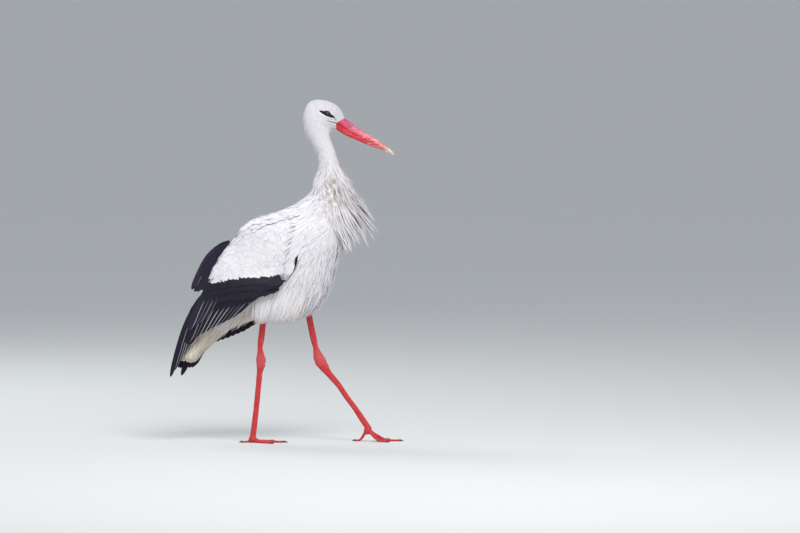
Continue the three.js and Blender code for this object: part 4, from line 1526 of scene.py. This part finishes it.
# %% The lie and size of the white coverts
LIE = np.array([
    # x, z in mm, degrees below level, length, half width
    (60, 665, 38, 34, 7), (0, 655, 34, 50, 8), (-80, 625, 34, 62, 8.5), (-150, 585, 40, 62, 9),
    (-200, 530, 50, 56, 9), (-235, 470, 58, 46, 9), (45, 600, 62, 24, 6.5), (-10, 580, 50, 32, 7),
    (-80, 555, 46, 42, 8), (-140, 520, 50, 44, 8), (30, 530, 68, 20, 6), (-20, 500, 58, 28, 6.5),
    (-90, 490, 56, 34, 7), (-160, 480, 58, 36, 7), (5, 480, 66, 20, 6), (-210, 460, 60, 36, 7),
], float)


def lie_at(x, z):
    gap = np.hypot(x[:, None] - LIE[:, 0], z[:, None] - LIE[:, 1]) + 8
    weight = gap ** -2.5
    return (weight / weight.sum(1, keepdims=True)) @ LIE[:, 2:]


# %% White coverts of both wings
def white_coverts(name, side, border, limit, *nodes):
    """Coverts over one wing, down to the border. Those further from the wing than the limit are left out."""
    form, centres, facing = forms[side]
    border = np.array(border, float)[::-1].T
    x, _, z = millimetres(centres).T
    seen = (facing[:, 1] * side > -0.1) & (facing @ np.array([0, side * 0.6, 0.8]) > 0)
    places = centres[seen & (z > np.interp(x, *border) + 4)]
    places = places[chance.permutation(len(places))]
    x, _, z = millimetres(places).T
    slope, length, width = lie_at(x, z).T
    kept = spread(places, width * 0.00115)
    places, slope, length, width, x, z = picked((places, slope, length, width, x, z), kept)
    room = (z - np.interp(x, *border)) / np.sin(np.radians(slope)) + chance.uniform(-4, 2, len(x))
    places, slope, length, width, room = picked((places, slope, length, width, room), room > 12)
    count = len(places)
    length = np.clip(np.minimum(length * chance.uniform(0.9, 1.1, count), room), 11, None)
    slope = slope + chance.normal(0, 4, count)
    levels = np.stack([np.full(count, -0.0014), chance.uniform(0.0012, 0.0018, count)], 1)
    paths, normals = walk(form, places, slope, length * 0.001, 8, levels)
    near = close_to(form, paths, limit)
    paths, normals, places, width = picked((paths, normals, places, width), near)
    mesh = vane_mesh(name, paths, normals, width * 0.001, "covert", (-1, -0.5, 0, 0.5, 1), 0.0004, 0.06,
                     wing_unwrap(side, places), feather_marks(millimetres(places)), ragged=0.02)
    return add_piece(name, mesh, white, "plumage_white", *nodes)


NEAR_BORDER = [
    (8, 483), (-8, 476), (-48, 470), (-95, 466), (-126, 462), (-165, 455), (-221, 447), (-258, 441),
]
FAR_BORDER = [
    (8, 466), (-8, 458), (-48, 447), (-104, 441), (-143, 449), (-171, 489), (-182, 533), (-230, 567),
]
white_coverts("wing_right_white", -1, NEAR_BORDER, 0.009, "wing_right_coverts")
white_coverts("wing_left_white", 1, FAR_BORDER, 0.013, "wing_left_coverts")

# %% [markdown]
# ## Bill
#
# A stork's bill is a long straight wedge of horn in two halves. Each half is lofted through sections: an arch
# over the ridge and a shallow palate, or the same turned over for the lower half. The nostril is a slit
# pressed into the upper half near its base, with a faint groove running on towards the tip.

# %% Bill sections
BILL = np.array([
    # ridge x, z, keel x, z and half width in mm
    [149, 911.5, 128, 882, 15.4], [161.5, 907.3, 138.5, 875.7, 13.2], [182, 894, 160, 862, 11.5],
    [204, 879, 183, 851, 10.5], [225, 866, 207, 841, 9.5], [246, 853, 231, 831, 8.3],
    [266, 839, 255, 823, 6.6], [283, 826, 276, 815, 4.6], [294, 816, 290, 809, 3],
    [302, 804.6, 301, 803, 0.8],
], float) + np.array([0.52, -0.29, 0.52, -0.29, 0])
MOUTH_SHARE, MOUTH_GAP = 0.42, 0.008
BILL_ROWS = 150
NOSTRIL_TURN = 53


# %% The mouth, the nostril and the horn's marks
def mouth_line(table, upper):
    """Where the two halves meet, with a hair's gap."""
    share = MOUTH_SHARE + (MOUTH_GAP if upper else -MOUTH_GAP)
    return table[:, 2:4] + (table[:, :2] - table[:, 2:4]) * share


def nostril(s, degrees):
    """Shares of the slit and of the groove that runs on from it, by the row and the degrees round it."""
    off = np.abs(degrees) - NOSTRIL_TURN
    slit = np.exp(-(off / 2.2) ** 2)[None] * (rise(s, 0.17, 0.20) * rise(-s, -0.27, -0.23))[:, None]
    groove = np.exp(-(off / 3.5) ** 2)[None] * (rise(s, 0.14, 0.20) * rise(-s, -0.62, -0.3))[:, None]
    return slit, groove


def bill_marks(mouth, degrees, slit, height, upper):
    """Shares for the horn's colours: the way to the tip, painted shade in the nostril slit and along the
    mouth's edge, and the ridge, where a painted sheen lies.
    """
    rows, around = slit.shape
    base, point = mouth[rows // 9], mouth[-1]
    along = np.clip((mouth - base) @ (point - base) / ((point - base) @ (point - base)), 0, 1)
    edge = rise(np.abs(degrees), 86, 90) * (np.abs(degrees) < 91)
    # Painted shade: the nostril slit and the line where the two halves meet are drawn dark, as shade falls in
    # them.
    dark = np.clip(slit * upper + 0.30 * edge[None] * rise(-along, -0.97, -0.8)[:, None], 0, 1)
    ridge = np.clip(height, 0, 1) * upper
    marks = np.stack([np.repeat(along, around), dark.ravel(), ridge.ravel(), np.ones(rows * around)], 1)
    return np.vstack([marks, marks[0], marks[-1]])


# %% One half of the bill
def mandible(name, upper):
    s = np.linspace(0, 1, BILL_ROWS)
    table = smooth_rows(BILL, s)
    mouth = mouth_line(table, upper)
    outer = table[:, :2] if upper else table[:, 2:4]
    fine = np.concatenate([np.linspace(0, 40, 7), np.linspace(44, 62, 9), np.linspace(68, 90, 5)])
    turn = np.radians(np.concatenate([-fine[:0:-1], fine]))
    width = table[:, 4] * (1 if upper else 0.94)
    arch = width[:, None] * np.sin(turn) * (1 - 0.10 * np.cos(turn) ** 2)
    palate = arch[:, -2:0:-2]
    arch_height = np.abs(np.cos(turn)) ** (1.05 if upper else 0.9)
    palate_height = 0.22 * (1 - (palate / width[:, None]) ** 2)
    height = np.concatenate([np.tile(arch_height, (BILL_ROWS, 1)), palate_height], 1)
    xz = mouth[:, None] + (outer - mouth)[:, None] * height[..., None]
    points = np.stack([xz[..., 0], np.concatenate([arch, palate], 1), xz[..., 1]], -1)
    degrees = np.concatenate([np.degrees(turn), np.full(palate.shape[1], 180.0)])
    slit, groove = nostril(s, degrees)
    dent = (1.5 * slit + 0.35 * groove) * upper
    wear = 0.10 * np.sin(s * 61)[:, None] * np.sin(turn.size * s * 3)[:, None]
    points[..., 1] -= np.sign(points[..., 1]) * np.minimum(dent, np.abs(points[..., 1]) * 0.8)
    points[..., 2] += wear * np.abs(height)
    around = points.shape[1]
    mesh = plain_mesh(name, metres(capped(points.reshape(-1, 3), around)), tube_faces(BILL_ROWS, around))
    outward = bmesh.new()
    outward.from_mesh(mesh)
    bmesh.ops.recalc_face_normals(outward, faces=outward.faces)
    outward.to_mesh(mesh)
    outward.free()
    write_marks(mesh, bill_marks(mouth, degrees, slit, height, upper))
    shade_smooth(mesh)
    return mesh


# %% Horn of the bill
HORN_COLOURS = [
    (0.0, (0.60, 0.008, 0.028)), (0.15, (0.72, 0.014, 0.034)), (0.6, (0.72, 0.035, 0.050)),
    (0.78, (0.68, 0.14, 0.14)), (0.865, (0.80, 0.68, 0.58)), (0.985, (0.72, 0.68, 0.56)),
    (1.0, (0.12, 0.08, 0.07)),
]
# Pinks for the upper half's ridge: the horn's own magenta near the base, and a painted sheen.
ROSE_AND_SHEEN_COLOURS = [(0.0, (0.50, 0.035, 0.15)), (0.3, (0.62, 0.13, 0.21)), (0.8, (0.66, 0.20, 0.22))]
BILL_SLOPE = math.radians(-29.4)
horn, tree, shader = new_finish("bill_horn", (0.6, 0.05, 0.05), 0.36, Coat_Weight=0.12, Coat_Roughness=0.3)
to_tip, dark, ridge, _ = read_marks(tree)
place = object_place(tree)
streaks = noise(tree, stretched(tree, place, (22, 320, 320), (0, BILL_SLOPE, 0)), 1, 5)
blots = noise(tree, place, 260, 2)
colour = ramp(tree, to_tip, HORN_COLOURS)
# The upper half turns pinker towards its ridge: the horn's own magenta near the base, and a painted sheen
# where the top faces the light.
on_ridge = ramp(tree, ridge, [(0.03, 0.0), (0.12, 0.55), (0.75, 1.0)])
rose_and_sheen = product(tree, on_ridge, ramp(tree, to_tip, [(0.0, 0.8), (0.2, 1.0), (0.80, 0.9), (0.88, 0.0)]))
colour = mix_colours(tree, rose_and_sheen, colour, ramp(tree, to_tip, ROSE_AND_SHEEN_COLOURS))
pale = ramp(tree, streaks, [(0.50, 0.0), (0.60, 0.85)])
worn = ramp(tree, blots, [(0.40, 0.1), (0.55, 1.0)])
worn = product(tree, worn, ramp(tree, to_tip, [(0.0, 0.05), (0.3, 0.4), (0.55, 1.0), (0.85, 1.0)]))
colour = mix_colours(tree, product(tree, pale, worn), colour, (0.86, 0.50, 0.48))
colour = mix_colours(tree, ramp(tree, streaks, [(0.30, 0.7), (0.44, 0.0)]), colour, (0.36, 0.010, 0.018))
# Painted shade in the nostril slit and along the mouth's edge.
colour = mix_colours(tree, dark, colour, (0.055, 0.012, 0.012))
paint(tree, shader, colour)
streak_bump = bump(tree, shader, streaks, 0.0005, 0.45)
bump(tree, shader, blots, 0.0004, 0.25, streak_bump)
for half in ("upper", "lower"):
    name = "bill_" + half + "_horn"
    add_piece(name, mandible(name, half == "upper"), horn, "bill", "bill_" + half)

# %% [markdown]
# ## Eyes
#
# Each eye is one ball with the clear front bulging a little, turned on a lathe. Pupil and iris are rings of
# colour round the outward axis, and the clear coat over them gives the wet highlight.

# %% Eyes
EYE_ROWS, EYE_AROUND = 40, 48
CORNEA_ANGLE, CORNEA_BULGE = 0.75, 0.45
wet, tree, shader = new_finish("eye_finish", (0.012, 0.009, 0.008), 0.2,
                               Coat_Weight=0.55, Coat_Roughness=0.02)
rings = node(tree, "ShaderNodeAttribute", attribute_name="ring").outputs["Fac"]
rays = noise(tree, object_place(tree), 1500)
iris = mix_colours(tree, rays, (0.055, 0.022, 0.010), (0.018, 0.009, 0.006))
inner = ramp(tree, rings, [(0.40, 0.0), (0.44, 1.0)])
outer = ramp(tree, rings, [(0.66, 0.0), (0.72, 1.0)])
colour = mix_colours(tree, inner, (0.004, 0.004, 0.005), iris)
colour = mix_colours(tree, outer, colour, (0.006, 0.005, 0.006))
paint(tree, shader, colour)

# %% Eyeballs
for side, name in SIDES:
    theta, phi = ring_grid(EYE_ROWS, EYE_AROUND, 0.02, math.pi - 0.02)
    bulge = np.where(theta < CORNEA_ANGLE, np.cos(theta / CORNEA_ANGLE * math.pi / 2), 0)
    radius = BALL_RADIUS + CORNEA_BULGE * bulge
    ball = np.stack([radius * np.sin(theta) * np.cos(phi), side * radius * np.cos(theta),
                     radius * np.sin(theta) * np.sin(phi)], 1) + np.array([EYE[0], side * EYE[1], EYE[2]])
    faces = tube_faces(EYE_ROWS, EYE_AROUND)
    ball = metres(capped(ball, EYE_AROUND))
    mesh = plain_mesh("eyeball_" + name, ball, faces if side < 0 else [f[::-1] for f in faces])
    ring = mesh.attributes.new("ring", "FLOAT", "POINT")
    ring.data.foreach_set("value", np.append(theta, [0, math.pi]).astype(np.float32))
    shade_smooth(mesh)
    add_piece("eyeball_" + name, mesh, wet, "eye", "eye_" + name)

# %% [markdown]
# ## Scales of the legs
#
# The naked legs are covered with small six-sided plates, like a net. A Geometry Nodes tree strews points over
# a copy of the legs, never nearer than the spacing, puts one plate on each, turned with the leg, and makes
# them real mesh. The spacing, the size, the seed and the way the plates lie are inputs of the tree.

# %% One plate: a low dome of twenty-two triangles
PLATE_POINTS = 13


def plate_mesh():
    turn = np.radians(np.arange(6) * 60 + 30)
    rim = np.stack([0.86 * np.cos(turn), 1.12 * np.sin(turn), np.full(6, -0.22)], 1)
    crown = np.stack([0.56 * np.cos(turn), 0.74 * np.sin(turn), np.full(6, 0.15)], 1)
    faces = [tuple(range(5, -1, -1))]
    faces += [(k, (k + 1) % 6, 6 + (k + 1) % 6, 6 + k) for k in range(6)]
    faces += [(6 + k, 6 + (k + 1) % 6, 12) for k in range(6)]
    return plain_mesh("plate", np.vstack([rim, crown, [[0, 0, 0.24]]]), faces)


plate = add_object("plate", plate_mesh(), linked=False)

# %% Finish of the scales
scale_finish, tree, shader = new_finish("leg_scales", (0.6, 0.05, 0.05), 0.32, Coat_Weight=0.35)
place = object_place(tree)
tones = ramp(tree, noise(tree, place, 130, 4), [(0.35, 0.0), (0.62, 1.0)])
colour = mix_colours(tree, tones, (0.58, 0.020, 0.034), (0.78, 0.070, 0.078))
height = parts_of(tree, "XYZ", place)[2]
# The heel joint is paler pink, and a painted highlight lies on its knob.
ankle_pink_and_highlight = ramp(tree, height, [(0.205, 0.0), (0.225, 0.75), (0.238, 0.75), (0.262, 0.0)])
colour = mix_colours(tree, ankle_pink_and_highlight, colour, (0.74, 0.20, 0.22))
paint(tree, shader, colour)
bump(tree, shader, noise(tree, place, 1200), 0.0003, 0.3)


# %% The tree that strews plates
MOST_POINTS = 900000


def strewing_tree():
    tree = bpy.data.node_groups.new("strew_plates", "GeometryNodeTree")
    tree.interface.new_socket("Geometry", in_out="INPUT", socket_type="NodeSocketGeometry")
    for label, kind in (("Spacing", "Float"), ("Size", "Float"), ("Seed", "Int"), ("Lie", "Vector")):
        tree.interface.new_socket(label, in_out="INPUT", socket_type="NodeSocket" + kind)
    tree.interface.new_socket("Geometry", in_out="OUTPUT", socket_type="NodeSocketGeometry")
    asked = node(tree, "NodeGroupInput").outputs
    strew = node(tree, "GeometryNodeDistributePointsOnFaces", {
        "Mesh": asked["Geometry"], "Distance Min": asked["Spacing"], "Density Max": MOST_POINTS,
        "Seed": asked["Seed"]}, distribute_method="POISSON")
    turned = node(tree, "FunctionNodeAlignRotationToVector", {
        "Rotation": strew.outputs["Rotation"], "Vector": asked["Lie"]}, axis="Y", pivot_axis="Z")
    vary = node(tree, "FunctionNodeRandomValue", {2: 0.85, 3: 1.12, "Seed": asked["Seed"]})
    one = node(tree, "GeometryNodeObjectInfo", {"Object": plate})
    put_on = node(tree, "GeometryNodeInstanceOnPoints", {
        "Points": strew.outputs["Points"], "Instance": one.outputs["Geometry"],
        "Rotation": turned.outputs[0], "Scale": product(tree, vary.outputs[1], asked["Size"])})
    real = node(tree, "GeometryNodeRealizeInstances", {0: put_on.outputs[0]})
    painted = node(tree, "GeometryNodeSetMaterial", {"Geometry": real.outputs[0], "Material": scale_finish})
    node(tree, "NodeGroupOutput", {0: painted.outputs[0]})
    return tree


strewing = strewing_tree()


def set_input(modifier, label, value):
    for item in modifier.node_group.interface.items_tree:
        if item.name == label and item.in_out == "INPUT":
            modifier[item.identifier] = value


# %% Plates on both legs
def leg_part(name, keep, lie, spacing, size, seed):
    """Plates over the leg faces that keep picks, as a piece with its OFBake map."""
    chosen = [f for f, wanted in zip(leg_faces, keep) if wanted]
    base = add_object(name + "_form", plain_mesh(name + "_form", leg_points, chosen))
    strew = base.modifiers.new("strew", "NODES")
    strew.node_group = strewing
    for label, value in (("Spacing", spacing), ("Size", size), ("Seed", seed), ("Lie", lie)):
        set_input(strew, label, value)
    mesh = finished_mesh(base, name)
    base.modifiers.remove(strew)
    bpy.data.objects.remove(base)
    points = mesh_points(mesh).astype(float).reshape(-1, PLATE_POINTS, 3)
    roots = points.mean(1)
    way = points[:, -1] - roots
    around = (np.arctan2(way[:, 1], way[:, 0]) / (2 * math.pi) + 0.5) * 0.42 + (roots[:, 1] > 0) * 0.5 + 0.03
    place = np.stack([around, 0.02 + roots[:, 2] * 1.6 + 0.4 * np.abs(roots[:, 0])], 1)
    corner = np.empty(len(mesh.loops), np.int32)
    mesh.loops.foreach_get("vertex_index", corner)
    local = np.array([v.co[:2] for v in plate.data.vertices])
    write_map(mesh, "OFBake", place[corner // PLATE_POINTS] + local[corner % PLATE_POINTS] * 0.0013)
    add_piece(name, mesh, scale_finish, "leg")


leg_faces = [tuple(f.vertices) for f in leg_skin.polygons]
_, middles, ways = surface(leg_skin)
x, y, z = millimetres(middles).T
feathered = np.where(y < 0, z > 340, z > 356)
sole = (z < 2.5) | ((ways[:, 2] < -0.5) & (z < 12))
low = z < 26
for side, name in SIDES:
    mine = (side * y > 0) & ~feathered & ~sole
    leg_part("scales_" + name, mine & ~low, (0.0 if side < 0 else 0.4, 0, -1), 0.0027, 0.00168, 3)
    leg_part("toe_scales_" + name, mine & low, (1, 0, 0), 0.0023, 0.00145, 5)

# %% [markdown]
# ## Claws
#
# The eight claws are dark horn. They could be modelled afresh, but the frame's solids already have their
# shape, so these are drawn out a little, to reach into the toes, and a fine remesh rounds their corners. All
# eight are one piece, because they share one finish.

# %% Claws
CLAW_STRETCH = 1.14
claw_horn, tree, shader = new_finish("claw_horn", (0.03, 0.02, 0.018), 0.45)
layers = noise(tree, object_place(tree), 400)
colour = mix_colours(tree, layers, (0.018, 0.012, 0.012), (0.075, 0.050, 0.042))
paint(tree, shader, colour)
bump(tree, shader, layers, 0.0004, 0.4)


def rooted(name):
    """A claw's solid, drawn out a little so that its base reaches into the toe."""
    points, faces = node_points(name)
    ends = points[[points[:, 0].argmin(), points[:, 0].argmax()]]
    tip = ends[ends[:, 2].argmin()]
    return tip + (points - tip) * CLAW_STRETCH, faces


names = numbered("claw_", "right") + numbered("claw_", "left")
claws = melted("claws", [rooted(name) for name in names], 0.0006, 5)
shade_smooth(claws)
claws.materials.clear()
add_piece("claws", claws, claw_horn, "claw", *names)

# %% [markdown]
# ## Handing over
#
# The one skin stands for all the solids of flesh, so it takes their place. The box round everything shown
# is worked out at the end.

# %% Hand over
FLESH = ["head", "neck_upper", "neck_lower", "trunk", "tail"]
for _, name in SIDES:
    FLESH += [part + name for part in ("thigh_", "shank_", "tarsus_", "foot_")] + numbered("toe_", name)
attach(skin, "root")
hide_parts(*FLESH)

low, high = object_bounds()
